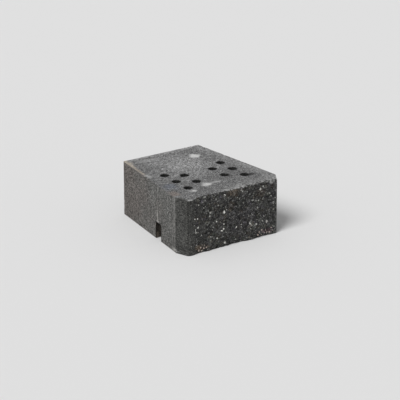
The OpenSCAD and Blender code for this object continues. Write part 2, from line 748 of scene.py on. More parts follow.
@dataclass
class Casting:
    """The whole block as one closed skin, from the plan's own sizes."""

    plan: Plan
    holes: Sequence[Hole]
    channel_y: float
    columns: int = 84          # coarse cells across
    nose_cells: int = 10       # cells along the left nose
    bevel_cells: int = 8       # cells along the left bevel
    rim_step: float = 1.5 * MM     # first line in from an edge
    rim_end: float = 4 * MM        # where the even spacing starts
    rows_below: int = 11           # heights up to the channel's corners
    rows_above: int = 31           # heights from there to the top
    rows_ahead: int = 27           # rows from the bend to the channel
    rows_behind: int = 57          # rows from the channel to the back
    rim_shares: Tuple[float, float] = (0.005, 0.0135)   # the same two across
    row_spread: float = 1.45       # over 1, it closes the rows up to the fracture
    mouth_rings: Tuple[float, ...] = (0.25, 0.5, 0.7, 0.85, 0.94, 1.0)
    wall_rings: Tuple[float, ...] = (0, 0.03, 0.08, 0.16, 0.28, 0.45, 0.7, 1.0)
    foot_rings: Tuple[float, ...] = (0.6, 0.25)
    corner_rows: Tuple[float, ...] = (0, 0.14, 0.38, 0.68, 1.0)
    ridge_rows: Tuple[float, ...] = (-2.0, -1.1, -0.4, 0.4, 1.1, 2.0)
    hole_margin: float = 16 * MM
    arris: float = 0.8 * MM
    front_arris: float = 2.2 * MM
    back_corner: float = 2.4 * MM
    skin_drop: float = 0.3 * MM
    ridge_y: float = -31.5 * MM
    groove_x: float = -141 * MM
    smears: Tuple[Patch, ...] = marks(
        MM, (62, 102, 18, 14, 1.3), (-34, -95, 17, 12, 1.0), (-6, -93, 20, 6, 0.45),
        (-88, -116, 10, 8, 0.85), (-127, 36, 8, 14, 0.42), (-60, 140, 34, 12, 0.3),
        (-61, 3, 8, 4, 0.45),
    )
    # a broad brighter area in the middle of the top
    bloom: Patch = Patch(0.0, 62 * MM, 90 * MM, 105 * MM, 1.0)
    warm_corner: Patch = Patch(-144 * MM, -106 * MM, 15 * MM, 18 * MM, 0.8)
    cool_corner: Patch = Patch(-121 * MM, -58 * MM, 22 * MM, 24 * MM, 0.7)
    scoops: Tuple[Patch, ...] = marks(
        MM, (105, -93.5, 12, 8.5, 1.2), (-32, -4, 8, 6, 0.8), (57, -68, 7, 5, 0.5), (32, -4, 8, 4, 0.4),
        (-57, -12, 8, 5, 0.6), (52, -77, 8, 4, 0.45), (120, -61, 14, 4, 0.3),
    )
    rust: Tuple[Patch, ...] = marks(
        MM, (3, 141, 26, 9, 0.5), (8, 133, 6, 5, 0.8), (-101, 15, 19, 10, 0.9),
        (84, 122, 14, 12, 0.35), (-6, 108, 14, 10, 0.22),
    )
    dust_share: float = 0.75
    dusty: Tuple[Patch, ...] = marks(
        MM, (-106, 112, 9, 20, 0.9), (-100, 72, 9, 18, 0.7), (-97, 30, 12, 20, 1.2),
    )
    purple: Tuple[Patch, ...] = marks(
        MM, (104, 14, 24, 9, 1.0), (20, 62, 48, 40, 0.35), (128, 110, 12, 30, 0.35),
    )

    # -- lines that the patches share --

    @property
    def bend(self) -> int:
        """Number of the row at the front ends of the sides."""
        return self.nose_cells + self.bevel_cells

    @property
    def corner_z(self) -> float:
        """Height where the channel's corners start."""
        return self.plan.sizes.channel_h - self.plan.sizes.channel_r

    def heights(self) -> Array:
        """Coarse heights, closer at both edges.

        Returns:
            The heights, one of them where the channel's corners start.
        """
        top = self.plan.height
        return np.concatenate([
            [0, self.rim_step], np.linspace(self.rim_end, self.corner_z, self.rows_below),
            np.linspace(self.corner_z, top - self.rim_end, self.rows_above)[1:],
            [top - self.rim_step, top],
        ])

    def start_row(self) -> int:
        """Number of the height where the channel's corners start."""
        return int(np.argmin(np.abs(self.heights() - self.corner_z)))

    def shares(self) -> Array:
        """Coarse lines across, closer at both sides.

        Returns:
            The lines as shares of the width.
        """
        step, end = self.rim_shares
        inner = np.linspace(end, 1 - end, self.columns - 3)
        return np.concatenate([[0, step], inner, [1 - step, 1]])

    def depths(self) -> Tuple[Array, int, int]:
        """Depths of the rows behind the bend.

        Returns:
            The rows from the bend to the back, and the numbers of the two at the
            channel's walls.
        """
        half, r = self.plan.sizes.channel_w / 2, self.plan.sizes.channel_r
        first, last = self.channel_y - half, self.channel_y + half
        corner = np.array(self.corner_rows) * r
        line = self.ridge_y + np.array(self.ridge_rows) * MM
        inner = np.concatenate([
            first + corner, np.linspace(first + r, line[0], 5)[1:-1], line, (last - corner)[::-1],
        ])
        ahead = np.linspace(self.plan.side_y, first, self.rows_ahead)[:-1]
        behind = np.linspace(last, self.plan.back_y - self.rim_end, self.rows_behind)[1:]
        edge = [self.plan.back_y - self.rim_step, self.plan.back_y]
        rows = np.concatenate([ahead, inner, behind, edge])
        return rows, len(ahead), len(ahead) + len(inner) - 1

    def roof(self, y: Array) -> Array:
        """Height of the channel's roof: level, with a quarter round at each wall.

        Args:
            y: Depths.

        Returns:
            The height at each, by the circle's rule within a radius of a wall.
        """
        s = self.plan.sizes
        off = s.channel_w / 2 - np.abs(y - self.channel_y)
        lack = np.clip(s.channel_r - off, 0, s.channel_r)
        return self.corner_z + np.sqrt(np.maximum(s.channel_r**2 - lack**2, 0))

    def left_edge(self) -> Tuple[Array, Array]:
        """The left outline from the nose to the bend: an arc, then a straight.

        Returns:
            Points in plan and the directions into the casting there.
        """
        p, s = self.plan, self.plan.sizes
        turn = p.bevel_turn(s.left_draw)
        a = np.linspace(-math.pi / 2, -turn, self.nose_cells + 1)
        out = np.stack([-np.cos(a), np.sin(a)], -1)
        middle = np.array([-p.nose_x(s.left_draw), p.front_y + s.nose_r])
        arc = middle + s.nose_r * out
        t = np.linspace(0, 1, self.bevel_cells + 1)[1:, None]
        straight = mix(arc[-1], np.array([-p.half_w, p.side_y]), t)
        inward = np.concatenate([-out, np.repeat(-out[-1:], self.bevel_cells, axis=0)])
        return np.concatenate([arc, straight]), inward

    def right_edge(self, z: Array) -> Tuple[Array, Array]:
        """The right outline from the fracture's arris straight to the bend.

        Args:
            z: Heights.

        Returns:
            Points in plan for each height and row, and directions inwards.
        """
        p = self.plan
        corner = p.right_arris(z)[:, None, :]
        run = np.concatenate([[0, 0.012, 0.035], np.linspace(0.075, 1, self.bend - 2)])
        end = np.array([p.half_w, p.side_y])
        turn = p.bevel_turn(p.sizes.right_draw)
        inward = np.array([-math.cos(turn), math.sin(turn)])
        points = mix(corner, end, run[None, :, None])
        return points, np.broadcast_to(inward, points.shape)

    # -- patches --

    def add_front(self, shell: Shell, z: Array, share: Array) -> None:
        """The broken face: y is the rough fracture at each point across and up.

        Args:
            shell: The skin to add to.
            z: Fine heights.
            share: Fine lines across.
        """
        left = -self.plan.nose_x(self.plan.sizes.left_draw)
        right = self.plan.right_arris(z)[:, 0]
        x = mix(left, right[None, :], share[:, None])
        zz = np.broadcast_to(z[None, :], x.shape)
        y = self.plan.rough_fracture(x, zz)
        y[0], y[-1] = self.plan.front_y, self.plan.right_arris(z)[:, 1]
        grid = shell.add_points(np.stack([x, y, zz], -1), Part.SPLIT, np.array([0.0, 1.0]))
        shell.add_faces(grid, flip=False)

    def add_side(self, shell: Shell, right: bool, z_fine: Array, z: Array) -> None:
        """One flank: nose and bevel with fine rows, then the straight side with
        coarse ones, opened where the channel comes out.

        Args:
            shell: The skin to add to.
            right: Whether it is the right flank.
            z_fine: Fine heights.
            z: Coarse heights.
        """
        if right:
            plan_points, inward = self.right_edge(z_fine)
            near = np.swapaxes(plan_points, 0, 1)
            near_in = np.swapaxes(inward, 0, 1)
        else:
            edge, edge_in = self.left_edge()
            near = np.repeat(edge[:, None, :], len(z_fine), axis=1)
            near_in = np.repeat(edge_in[:, None, :], len(z_fine), axis=1)
        level = np.broadcast_to(z_fine[None, :, None], near.shape[:2] + (1,))
        front = shell.add_points(np.concatenate([near, level], -1), Part.NOSE, near_in)
        shell.add_faces(front, flip=not right)

        rows, first, last = self.depths()
        sign = 1.0 if right else -1.0
        taper = self.plan.taper
        inward_side = np.array([-sign, -taper]) / math.hypot(1, taper)
        start = self.start_row()
        base = np.where((rows >= rows[first]) & (rows <= rows[last]), self.roof(rows), z[start])
        climb = np.clip((z - z[start]) / (z[-1] - z[start]), 0, 1)
        above = base[:, None] + (z[-1] - base[:, None]) * climb[None, :]
        zz = np.where(np.arange(len(z))[None, :] < start, z[None, :], above)
        x = np.broadcast_to(sign * self.plan.half_width(rows)[:, None], zz.shape)
        yy = np.broadcast_to(rows[:, None], zz.shape)
        grid = shell.add_points(np.stack([x, yy, zz], -1), Part.SIDE, inward_side)
        shell.add_step(front[-1], grid[1], flip=not right)
        keep = np.ones((len(rows) - 1, len(z) - 1), bool)
        keep[0] = False
        keep[first:last, :start] = False
        shell.add_faces(grid, flip=not right, keep=keep)

    def add_back(self, shell: Shell, z: Array, share: Array) -> None:
        """The flat back.

        Args:
            shell: The skin to add to.
            z: Coarse heights.
            share: Coarse lines across.
        """
        half = self.plan.sizes.back_w / 2
        x = np.broadcast_to(mix(-half, half, share)[:, None], (len(share), len(z)))
        zz = np.broadcast_to(z[None, :], x.shape)
        y = np.full(x.shape, self.plan.back_y)
        grid = shell.add_points(np.stack([x, y, zz], -1), Part.BACK, np.array([0.0, -1.0]))
        shell.add_faces(grid, flip=True)

    def add_level(self, shell: Shell, top: bool, share_fine: Array, share: Array) -> None:
        """The top or the bed: rows blended between the fracture and the bend with
        fine columns (a four-sided blend of its edges), then straight rows.

        Args:
            shell: The skin to add to.
            top: Whether it is the top.
            share_fine: Fine lines across.
            share: Coarse lines across.
        """
        p = self.plan
        z = np.array([p.height if top else 0.0])
        part = Part.TOP if top else Part.BED
        left, _ = self.left_edge()
        right = self.right_edge(z)[0][0]
        x = mix(left[0, 0], right[0, 0], share_fine)
        y = p.rough_fracture(x, np.full(len(x), z[0]))
        y[0], y[-1] = p.front_y, right[0, 1]
        head = np.stack([x, y], -1)
        bend = np.stack([mix(-p.half_w, p.half_w, share_fine), np.full(len(x), p.side_y)], -1)
        v = (np.linspace(0, 1, self.bend + 1) ** self.row_spread)[None, :, None]
        u = share_fine[:, None, None]
        sides = (1 - u) * left[None] + u * right[None]
        ends = (1 - u) * mix(left[0], left[-1], v) + u * mix(right[0], right[-1], v)
        flat = mix(head[:, None], bend[:, None], v) + sides - ends
        raised = np.concatenate([flat, np.full(flat.shape[:2] + (1,), z[0])], -1)
        near = shell.add_points(raised, part)
        shell.add_faces(near, flip=not top)

        rows, first, last = self.depths()
        half = p.half_width(rows)[None, :]
        xx = mix(-half, half, share[:, None])
        grid = np.stack([xx, np.broadcast_to(rows[None], xx.shape), np.full(xx.shape, z[0])], -1)
        numbers = shell.add_points(grid, part)
        shell.add_step(near[:, -1], numbers[:, 1], flip=top)
        keep = np.ones((len(share) - 1, len(rows) - 1), bool)
        keep[:, 0] = False
        if top:
            for hole in self.holes:
                self.add_hole(shell, hole, grid, keep)
        else:
            keep[:, first:last] = False
        shell.add_faces(numbers, flip=not top, keep=keep)

    def add_hole(self, shell: Shell, hole: Hole, grid: Array, keep: Array) -> None:
        """A pin hole: rings that pass from the square gap in the top's grid to the
        round mouth, down the flare and the wall, round the foot and to its middle.

        Args:
            shell: The skin to add to.
            hole: The hole.
            grid: Positions on the top's coarse grid.
            keep: The grid's cells, from which the gap is taken.
        """
        m = self.hole_margin
        row = np.argmin(np.abs(grid[0, :, 1] - hole.y))
        i0, i1 = np.searchsorted(grid[:, row, 0], [hole.x - m, hole.x + m])
        j0, j1 = np.searchsorted(grid[0, :, 1], [hole.y - m, hole.y + m])
        keep[i0:i1, j0:j1] = False
        loop = np.concatenate([
            grid[i0:i1, j0], grid[i1, j0:j1], grid[i1:i0:-1, j1], grid[i0, j1:j0:-1],
        ])
        away = loop[:, :2] - np.array([hole.x, hole.y])
        angle = np.arctan2(away[:, 1], away[:, 0])
        out = np.stack([np.cos(angle), np.sin(angle)], -1)
        s, top = self.plan.sizes, self.plan.height
        foot = top - s.hole_depth
        wall_top, wall_foot = top - s.mouth, foot + s.foot_chamfer
        centre = np.array([hole.x, hole.y])
        rings: List[Array] = [loop]
        for t in self.mouth_rings:
            flat = mix(away, (hole.radius + s.mouth) * out, t)
            rings.append(np.column_stack([flat + centre, np.full(len(loop), top)]))
        mouth = len(rings) - 1
        steps = [(hole.radius + s.mouth / 2, top - s.mouth / 2)]
        steps += [(hole.radius, wall_top - (wall_top - wall_foot) * t) for t in self.wall_rings]
        steps += [(hole.radius - s.foot_chamfer, foot)]
        steps += [(hole.radius * t, foot) for t in self.foot_rings]
        for r, z in steps:
            rings.append(np.column_stack([r * out + centre, np.full(len(loop), z)]))
        ring_points = np.stack(rings)
        ring_points = np.concatenate([ring_points, ring_points[:, :1]], axis=1)
        level = shell.add_points(ring_points[:mouth + 1], Part.TOP)
        shell.add_faces(level, flip=True)
        down = shell.add_points(ring_points[mouth:], Part.HOLE)
        shell.add_faces(down, flip=True)
        middle = shell.add_points(np.array([[hole.x, hole.y, foot]]), Part.HOLE)[0]
        last = down[-1]
        shell.tris.append(np.stack([last[:-1], last[1:], np.full(len(last) - 1, middle)], -1))

    def add_channel(self, shell: Shell, z: Array, share: Array) -> None:
        """The pin channel: its section of two walls, two quarter rounds and a
        level roof, carried across between the sloping sides.

        Args:
            shell: The skin to add to.
            z: Coarse heights.
            share: Coarse lines across.
        """
        rows, first, last = self.depths()
        start = self.start_row()
        inner = rows[first + 1:last]
        y = np.concatenate([np.full(start + 1, rows[first]), inner, np.full(start + 1, rows[last])])
        zz = np.concatenate([z[:start + 1], self.roof(inner), z[start::-1]])
        half = self.plan.half_width(y)
        x = mix(-half[None, :], half[None, :], share[:, None])
        grid = np.stack([x, np.broadcast_to(y, x.shape), np.broadcast_to(zz, x.shape)], -1)
        shell.add_faces(shell.add_points(grid, Part.CHANNEL), flip=True)

    # -- wear and relief --

    def round_back_corners(self, surface: Surface) -> Array:
        """Takes the two upright back corners off by a quarter round.

        Args:
            surface: The sharp casting.

        Returns:
            The new positions.
        """
        p, points = self.plan, surface.points
        stretch = math.hypot(1, p.taper)
        sign = np.sign(points[:, 0])
        to_back = p.back_y - points[:, 1]
        to_side = (p.half_width(points[:, 1]) - np.abs(points[:, 0])) / stretch
        side_in = np.stack([-sign, np.full(len(points), -p.taper)], -1) / stretch
        back_in = np.array([0.0, -1.0])
        moved = points.copy()
        for skin, gap, own, other in (
            (Part.SIDE, to_back, side_in, back_in), (Part.BACK, to_side, back_in, side_in),
        ):
            here = surface.part(skin) & (gap < self.back_corner)
            sink, slide = quarter_round(gap, self.back_corner)
            shift = own * sink[:, None] + other * slide[:, None]
            moved[here, :2] = (points[:, :2] + shift)[here]
        return moved

    def edge_radius(self, points: Array) -> Array:
        """How far the level edges are worn.

        Args:
            points: Positions.

        Returns:
            The radius at each: least along the back, most and most unevenly along
            the broken face.
        """
        wide = cloud(points * [1, 1, 0.2], 14 * MM, Seed.WEAR_WIDE)
        close = cloud(points * [1, 1, 0.2], 4 * MM, Seed.WEAR_CLOSE)
        front = fall(points[:, 1], self.plan.side_y - 14 * MM, 14 * MM)
        front *= rise(points[:, 0], -128 * MM, 22 * MM)
        top = (points[:, 2] > self.plan.height / 2)
        plain = self.arris * (0.55 + 0.7 * wide + 0.3 * close)
        broken = self.front_arris * (0.35 + 0.8 * wide + 0.7 * close) * np.where(top, 1.0, 0.7)
        return mix(plain, broken, front)

    def round_level_edges(self, points: Array, surface: Surface) -> Array:
        """Rounds the edges of the top and the bed, first on the level skin and then
        on the walls.

        Args:
            points: Vertex positions.
            surface: The sharp casting.

        Returns:
            The new positions, by the same rule as the back corners.
        """
        level, wall = surface.level, surface.part(*WALLS)
        column = np.flatnonzero(wall)
        moved = points.copy()
        for skin, z, up in ((Part.TOP, self.plan.height, 1.0), (Part.BED, 0.0, -1.0)):
            flat = surface.part(skin)
            rim, inner = np.flatnonzero(flat & wall), np.flatnonzero(flat & ~wall)
            nearest = np.empty(len(inner), int)
            for block in np.array_split(np.arange(len(inner)), max(1, len(inner) // SEARCH_BLOCK)):
                far = np.linalg.norm(points[inner[block], None, :2] - points[None, rim, :2], axis=2)
                nearest[block] = rim[far.argmin(1)]
            gap = ((points[inner, :2] - points[nearest, :2]) * level[nearest]).sum(1)
            radius = self.edge_radius(points)[nearest]
            sink, slide = quarter_round(gap, radius)
            hit = (gap < radius) & (gap >= 0)
            near = inner[hit]
            moved[near, :2] += level[nearest[hit]] * slide[hit, None]
            moved[near, 2] -= up * sink[hit]

            gap = np.abs(z - points[column, 2])
            radius = self.edge_radius(np.column_stack([points[column, :2], np.full(len(column), z)]))
            sink, slide = quarter_round(gap, radius)
            hit = gap < radius
            near = column[hit]
            moved[near, :2] += level[near] * sink[hit, None]
            moved[near, 2] -= up * slide[hit]
        return moved

    def burr(self, points: Array) -> Array:
        """How much of the ragged fin at the rear of the top left edge is there.

        Args:
            points: Vertex positions.

        Returns:
            The share: a band beside the edge that widens to the rear, and only
            just under the top.
        """
        off = np.abs(points[:, 0] + self.plan.half_width(points[:, 1]))
        ragged = cloud(points, 8 * MM, Seed.BURR_WIDE)
        close = cloud(points, 3.5 * MM, Seed.BURR_CLOSE)
        along = rise(points[:, 1], 38 * MM, 26 * MM)
        rear = rise(points[:, 1], 100 * MM, 50 * MM)
        off = np.abs(off - mix(4.0, 1.5, rear) * MM)
        width = mix(3.4 + 3.4 * ragged, 5 + 14 * ragged * (0.4 + close), rear) * MM
        drop = (self.plan.height - points[:, 2]) / ((0.3 + 0.9 * ragged) * MM)
        return along * ease(1.3 - off / width) * ease(1.4 - drop)

    def ridge(self, points: Array) -> Array:
        """How much of the drag line above the left mouth of the channel is there.

        Args:
            points: Vertex positions.

        Returns:
            The share: strong for a short way over the mouth, faint from there up.
        """
        off = np.abs(points[:, 1] - self.ridge_y)
        z = points[:, 2]
        broken_up = cloud(points, (3 * MM, 3 * MM, 9 * MM), Seed.DRAG_LINE)
        strong = mix(0.3 * broken_up, 0.7 + 0.3 * broken_up, fall(z, 84 * MM, 12 * MM))
        upright = rise(z, 46 * MM, 4 * MM) * strong
        return ease(1.2 - off / (1.5 * MM)) * upright * (points[:, 0] < 0)

    def beside_mouths(self, points: Array) -> Array:
        """Finds the distance to the pin holes.

        Args:
            points: Vertex positions.

        Returns:
            How far each lies outside the nearest mouth, in plan.
        """
        middles = np.array([[h.x, h.y] for h in self.holes])
        mouths = np.array([h.radius for h in self.holes]) + self.plan.sizes.mouth
        far = np.linalg.norm(points[:, None, :2] - middles[None], axis=2) - mouths[None]
        return np.maximum(far.min(axis=1), 0.0)

    def scooped(self, points: Array) -> Array:
        """How much of the worn hollows beside some mouths is there."""
        ragged = 0.7 + 0.6 * cloud(points, 5 * MM, Seed.SCOOPS)
        return covered(self.scoops, points[:, 0], points[:, 1], ragged)

    def relief(self, surface: Surface) -> Array:
        """How far each vertex sinks under the outline, never less than nothing.

        Args:
            surface: The sharp casting.

        Returns:
            Depths: broad and close noise and pits on all skins, upright drag
            marks on the moulded walls, torn walls in the channel, ragged mouths
            with hollows beside them, and a groove beside the nose.
        """
        points = surface.points
        broad = cloud(points, 30 * MM, Seed.SKIN_BROAD)
        close = cloud(points, 7 * MM, Seed.SKIN_CLOSE)
        fine = cloud(points, 3 * MM, Seed.SKIN_FINE)
        drag = cloud(points, (3.2 * MM, 3.2 * MM, 60 * MM), Seed.SKIN_DRAG)
        torn = cloud(points, 5 * MM, Seed.TORN)
        worn = cloud(points, 11 * MM, Seed.MOUTH_WEAR)
        pit = rise(cloud(points, 4.5 * MM, Seed.PITS), 0.68, 0.12)
        shared = 0.2 * MM * broad + 0.2 * MM * fine + 0.8 * MM * pit
        flat = self.skin_drop * (1 - self.burr(points)) + 0.2 * MM * close + shared
        flat = flat + 1.9 * MM * self.scooped(points)
        wall = self.skin_drop * (1 - self.ridge(points)) + 0.25 * MM * drag + shared
        groove = ease(1 - np.abs(points[:, 0] - self.groove_x) / (1.8 * MM))
        wall = wall + 0.9 * MM * groove * surface.part(Part.NOSE)
        mouth = ease((points[:, 2] - self.plan.height + 6 * MM) / (6 * MM))
        hole = 0.1 * MM + (0.5 + mouth * (1.0 + 2.2 * worn)) * MM * torn
        deep = np.where(surface.part(Part.SIDE, Part.NOSE, Part.BACK), wall, 0.0)
        deep = np.where(surface.part(Part.TOP), flat, deep)
        deep = np.where(surface.part(Part.CHANNEL), 0.3 * MM + 1.7 * MM * torn, deep)
        deep = np.where(surface.part(Part.HOLE), hole, deep)
        return np.where(surface.part(Part.SPLIT), 0.0, deep)

    def edge_spall(self, surface: Surface) -> Array:
        """How much pale crushed cement lies along the front edge of the top.

        Args:
            surface: The sharp casting.

        Returns:
            The share, on a ragged band behind the edge that widens to the right
            and on the uppermost few millimetres of the fracture.
        """
        p, points = self.plan, surface.points
        x, y, z = points.T
        coarse = cloud(points, 9 * MM, Seed.SPALL_WIDE)
        fine = cloud(points, 2.8 * MM, Seed.SPALL_CLOSE)
        behind = y - p.faceted_fracture(x, np.full(len(x), p.height))
        right = rise(x, -62 * MM, 110 * MM)
        width = mix(4 * MM, 36 * MM, right) * (0.5 + 1.0 * coarse)
        grainy = 0.12 + 1.0 * rise(fine, 0.30, 0.36)
        broad, close = ease(1.15 - behind / width), ease(1.2 - behind / (4 * MM))
        flat = surface.part(Part.TOP) * (0.6 * broad + 0.4 * close)
        left, corner = rise(x, -128 * MM, 26 * MM), rise(x, 104 * MM, 26 * MM)
        reach = mix(mix(1.0, 8.0, left), 34.0, corner)
        below = (p.height - z) / ((0.3 + reach * coarse * fine) * MM)
        steep = surface.part(Part.SPLIT) * ease(1.5 - below)
        within = rise(x, -142 * MM, 10 * MM)
        gap = 1 - 0.7 * rise(x, -108 * MM, 14 * MM) * fall(x, -18 * MM, 30 * MM)
        band = within * gap * np.maximum(flat, steep)
        return np.clip(grainy * np.maximum(band, 1.35 * self.nose_crumbs(points)), 0, 1)

    def worn_arris(self, points: Array, rag: Array) -> Array:
        """How pale the left wall is worn at the arris between side and bevel, and
        in a patch at its foot.

        Args:
            points: Vertex positions.
            rag: Close noise between 0 and 1 at each vertex.

        Returns:
            The share: a narrow upright strip on the upper half, and crumbs below.
        """
        x, y, z = points.T
        off = np.abs(y - self.plan.side_y - 9 * MM)
        strip = ease(1.2 - off / (7 * MM)) * rise(z, 40 * MM, 35 * MM) * (0.02 + 0.2 * rag)
        foot = Patch(self.plan.side_y + 6 * MM, 5 * MM, 22 * MM, 9 * MM, 1.0)
        grainy = rise(cloud(points, 3 * MM, Seed.CRUMBS), 0.42, 0.25)
        crumbs = 0.5 * foot.cover(y, z, 0.6 + 0.9 * rag) * grainy
        return (x < 0) * np.maximum(strip, crumbs)

    def bevel_shade_on_top(self, points: Array, rag: Array) -> Array:
        """How much of the top takes the bevel's painted shade along the left bevel.

        Args:
            points: Vertex positions.
            rag: Close noise between 0 and 1 at each vertex.

        Returns:
            The share, by the run from the bevel's rear end and the distance in.
        """
        size = self.plan.sizes
        run = self.plan.side_y - points[:, 1]
        slope = size.left_draw / size.side_end
        off = (points[:, 0] + self.plan.half_w - run * slope) / np.hypot(1.0, slope)
        along = rise(run, -2 * MM, 6 * MM) * fall(run, 36 * MM, 12 * MM)
        return (points[:, 0] < 0) * along * ease(1.5 - off / ((5.0 + 5.0 * rag) * MM))

    def nose_crumbs(self, points: Array) -> Array:
        """How much pale crushed cement lies along the top edge of the left nose.

        Args:
            points: Vertex positions.

        Returns:
            The share, by the distance inside the nose's arc and below the top.
        """
        size = self.plan.sizes
        turn_x, turn_y = -self.plan.nose_x(size.left_draw), self.plan.front_y + size.nose_r
        inward = size.nose_r - np.hypot(points[:, 0] - turn_x, points[:, 1] - turn_y)
        below = self.plan.height - points[:, 2]
        sector = (points[:, 0] < turn_x + 4 * MM) & (points[:, 1] < turn_y - 2 * MM)
        return sector * ease(1.3 - inward / (8 * MM)) * ease(1.2 - below / (0.5 * MM))

    def bite(self, surface: Surface) -> Array:
        """How much of the top and the bed has come away behind the fracture.

        Args:
            surface: The sharp casting.

        Returns:
            The share, on a ragged band behind the edge that widens to the right.
        """
        x, y, z = surface.points.T
        between = rise(x, -136 * MM, 8 * MM) * fall(x, self.plan.half_w - 20 * MM, 6 * MM)
        behind = y - self.plan.faceted_fracture(x, z)
        reach = (0.4 + mix(7.0, 46.0, rise(x, -20 * MM, 110 * MM)) * surface.rag**3) * MM
        return surface.part(Part.TOP, Part.BED) * between * ease(1.1 - behind / reach)

    def pale(self, surface: Surface, top: Array, spall: Array) -> Array:
        """How pale each vertex is.

        Args:
            surface: The sharp casting.
            top: How much of the top is there.
            spall: How much crushed cement is there.

        Returns:
            The share: smears and crushed cement, the fin, the drag line with a lip
            over the channel's mouth, paler bands along the top's rear and right rims, and worn arrises.
        """
        p, rag = self.plan, surface.rag
        x, y, z = surface.points.T
        crushed = mix(0.92, 0.72, rise(x, -110 * MM, 30 * MM))
        crushed = mix(crushed, 0.60, rise(x, 20 * MM, 60 * MM))
        fin = mix(0.38, 0.66, rise(y, 100 * MM, 45 * MM)) * (0.6 + 0.8 * rag)
        over = np.abs(z - p.sizes.channel_h - 4.5 * MM) / (3.5 * MM)
        aside = np.abs(y - self.ridge_y) / (7 * MM)
        lip = ease(1.2 - over) * ease((1.2 - aside) / 0.4) * surface.left_wall
        # paler bands along the rear and right rims of the top
        rear_rim = 0.30 * ease(1.3 - (p.back_y - y) / (17 * MM))
        side_rim = 0.17 * ease(1.3 - (p.half_width(y) - x) / (34 * MM))
        speckled = rise(cloud(surface.points, 4 * MM, Seed.SPECKLES), 0.3, 0.4)
        right_rim = ease(1.3 - (p.right_arris(z)[:, 0] - x) / (2.2 * MM))
        return np.maximum.reduce([
            top * covered(self.smears, x, y, surface.ragged),
            crushed * spall,
            fin * self.burr(surface.points),
            self.ridge(surface.points) * surface.part(Part.SIDE),
            0.8 * lip,
            top * np.maximum(rear_rim, side_rim) * (0.15 + 1.7 * speckled),
            right_rim * surface.part(Part.SPLIT) * (0.15 + 0.5 * rag),
            self.worn_arris(surface.points, rag) * surface.part(Part.SIDE, Part.NOSE),
        ])

    def dark(self, surface: Surface, top: Array) -> Array:
        """How dark each vertex is.

        Args:
            surface: The sharp casting.
            top: How much of the top is there.

        Returns:
            The share: painted shade in the insides of the holes and the channel, lighter
            low on the channel's rear wall, and along its chipped mouth, in the scoops, round
            the mouths' rims and in the groove; and a thin dark line ahead of the drag line.
        """
        p, rag = self.plan, surface.rag
        x, y, z = surface.points.T
        half = p.sizes.channel_w / 2
        # painted shade in the pin holes' insides, a little less just under the top
        inside = 0.85 + 0.15 * ease((p.height - z) / (1.5 * MM))
        # the channel takes painted shade, less of it low on its rear wall
        lit = fall(z, 38 * MM, 12 * MM) * (y > self.channel_y)
        over = np.maximum(z - p.sizes.channel_h, 0) / (3.4 * MM)
        ahead = np.maximum(self.channel_y - half - y, 0) / (3.2 * MM)
        astern = np.maximum(y - self.channel_y - half, 0) / (0.8 * MM)
        # painted shade along the channel's chipped mouth on the left wall, above and ahead of the opening
        chipped = ease(1.5 - np.sqrt(over**2 + ahead**2 + astern**2)) * surface.left_wall
        # painted shade round the pin holes' mouths on the top
        rims = ease(1.3 - self.beside_mouths(surface.points) / (2.2 * MM)) * top
        # painted shade in the groove beside the left nose
        groove = ease(1 - np.abs(x - self.groove_x) / (2.2 * MM)) * surface.part(Part.NOSE, Part.SPLIT)
        # a thin dark line painted just ahead of the drag line on the left wall
        dark_line = ease(1.2 - np.abs(y - self.ridge_y + 3.2 * MM) / (1.3 * MM)) * surface.left_wall
        dark_line = dark_line * rise(z, 84 * MM, 6 * MM) * fall(z, 124 * MM, 12 * MM)
        return np.maximum.reduce([
            # painted shade in the holes and in the channel
            surface.part(Part.HOLE) * inside,
            surface.part(Part.CHANNEL) * mix(0.9, 0.15 + 0.9 * rag, lit),
            0.85 * chipped * (0.75 + 0.25 * rag),
            # painted shade in the worn hollows beside some mouths
            0.75 * top * self.scooped(surface.points),
            rims * (0.15 + 0.75 * rag),
            0.55 * groove * ease(z / (30 * MM)),
            0.4 * dark_line,
        ])

    def warm(self, surface: Surface, top: Array) -> Array:
        """How far each vertex turns to the warm colours.

        Args:
            surface: The sharp casting.
            top: How much of the top is there.

        Returns:
            The share: the sides in clouds and more to the rear, the fin, one corner
            of the top, and the channel.
        """
        x, y, _ = surface.points.T
        clouds = cloud(surface.points, 45 * MM, Seed.WARMTH) - 0.5
        sides = np.clip(0.15 + 0.8 * rise(y, -60 * MM, 220 * MM) + 0.8 * clouds, 0, 1)
        return np.maximum.reduce([
            surface.part(Part.SIDE) * sides,
            self.burr(surface.points),
            self.warm_corner.cover(x, y, surface.ragged) * top,
            0.4 * surface.part(Part.CHANNEL),
        ])

    def tones(self, surface: Surface) -> Dict[str, Array]:
        """The numbers that the concrete finish reads at each vertex.

        Args:
            surface: The sharp casting.

        Returns:
            By name: how broken, how much of the bevels' painted shade, how much of the
            top, how pale, torn, dark (mostly painted shade), warm and cool, how much of the brighter
            middle, rust and purple.
        """
        p, rag, ragged = self.plan, surface.rag, surface.ragged
        x, y, z = surface.points.T
        split, channel = surface.part(Part.SPLIT), surface.part(Part.CHANNEL)
        # painted shade: the top along the left bevel takes the bevel's darker colour, as the shade over a
        # rounded arris
        worn = surface.part(Part.TOP) * self.bevel_shade_on_top(surface.points, rag)
        top = surface.part(Part.TOP) * (1 - worn)
        bite = self.bite(surface)
        face = split * rise(y - p.front_y, 0.15 * MM, 0.5 * MM)
        broken = np.maximum.reduce([face, bite, 0.5 * channel * rag])
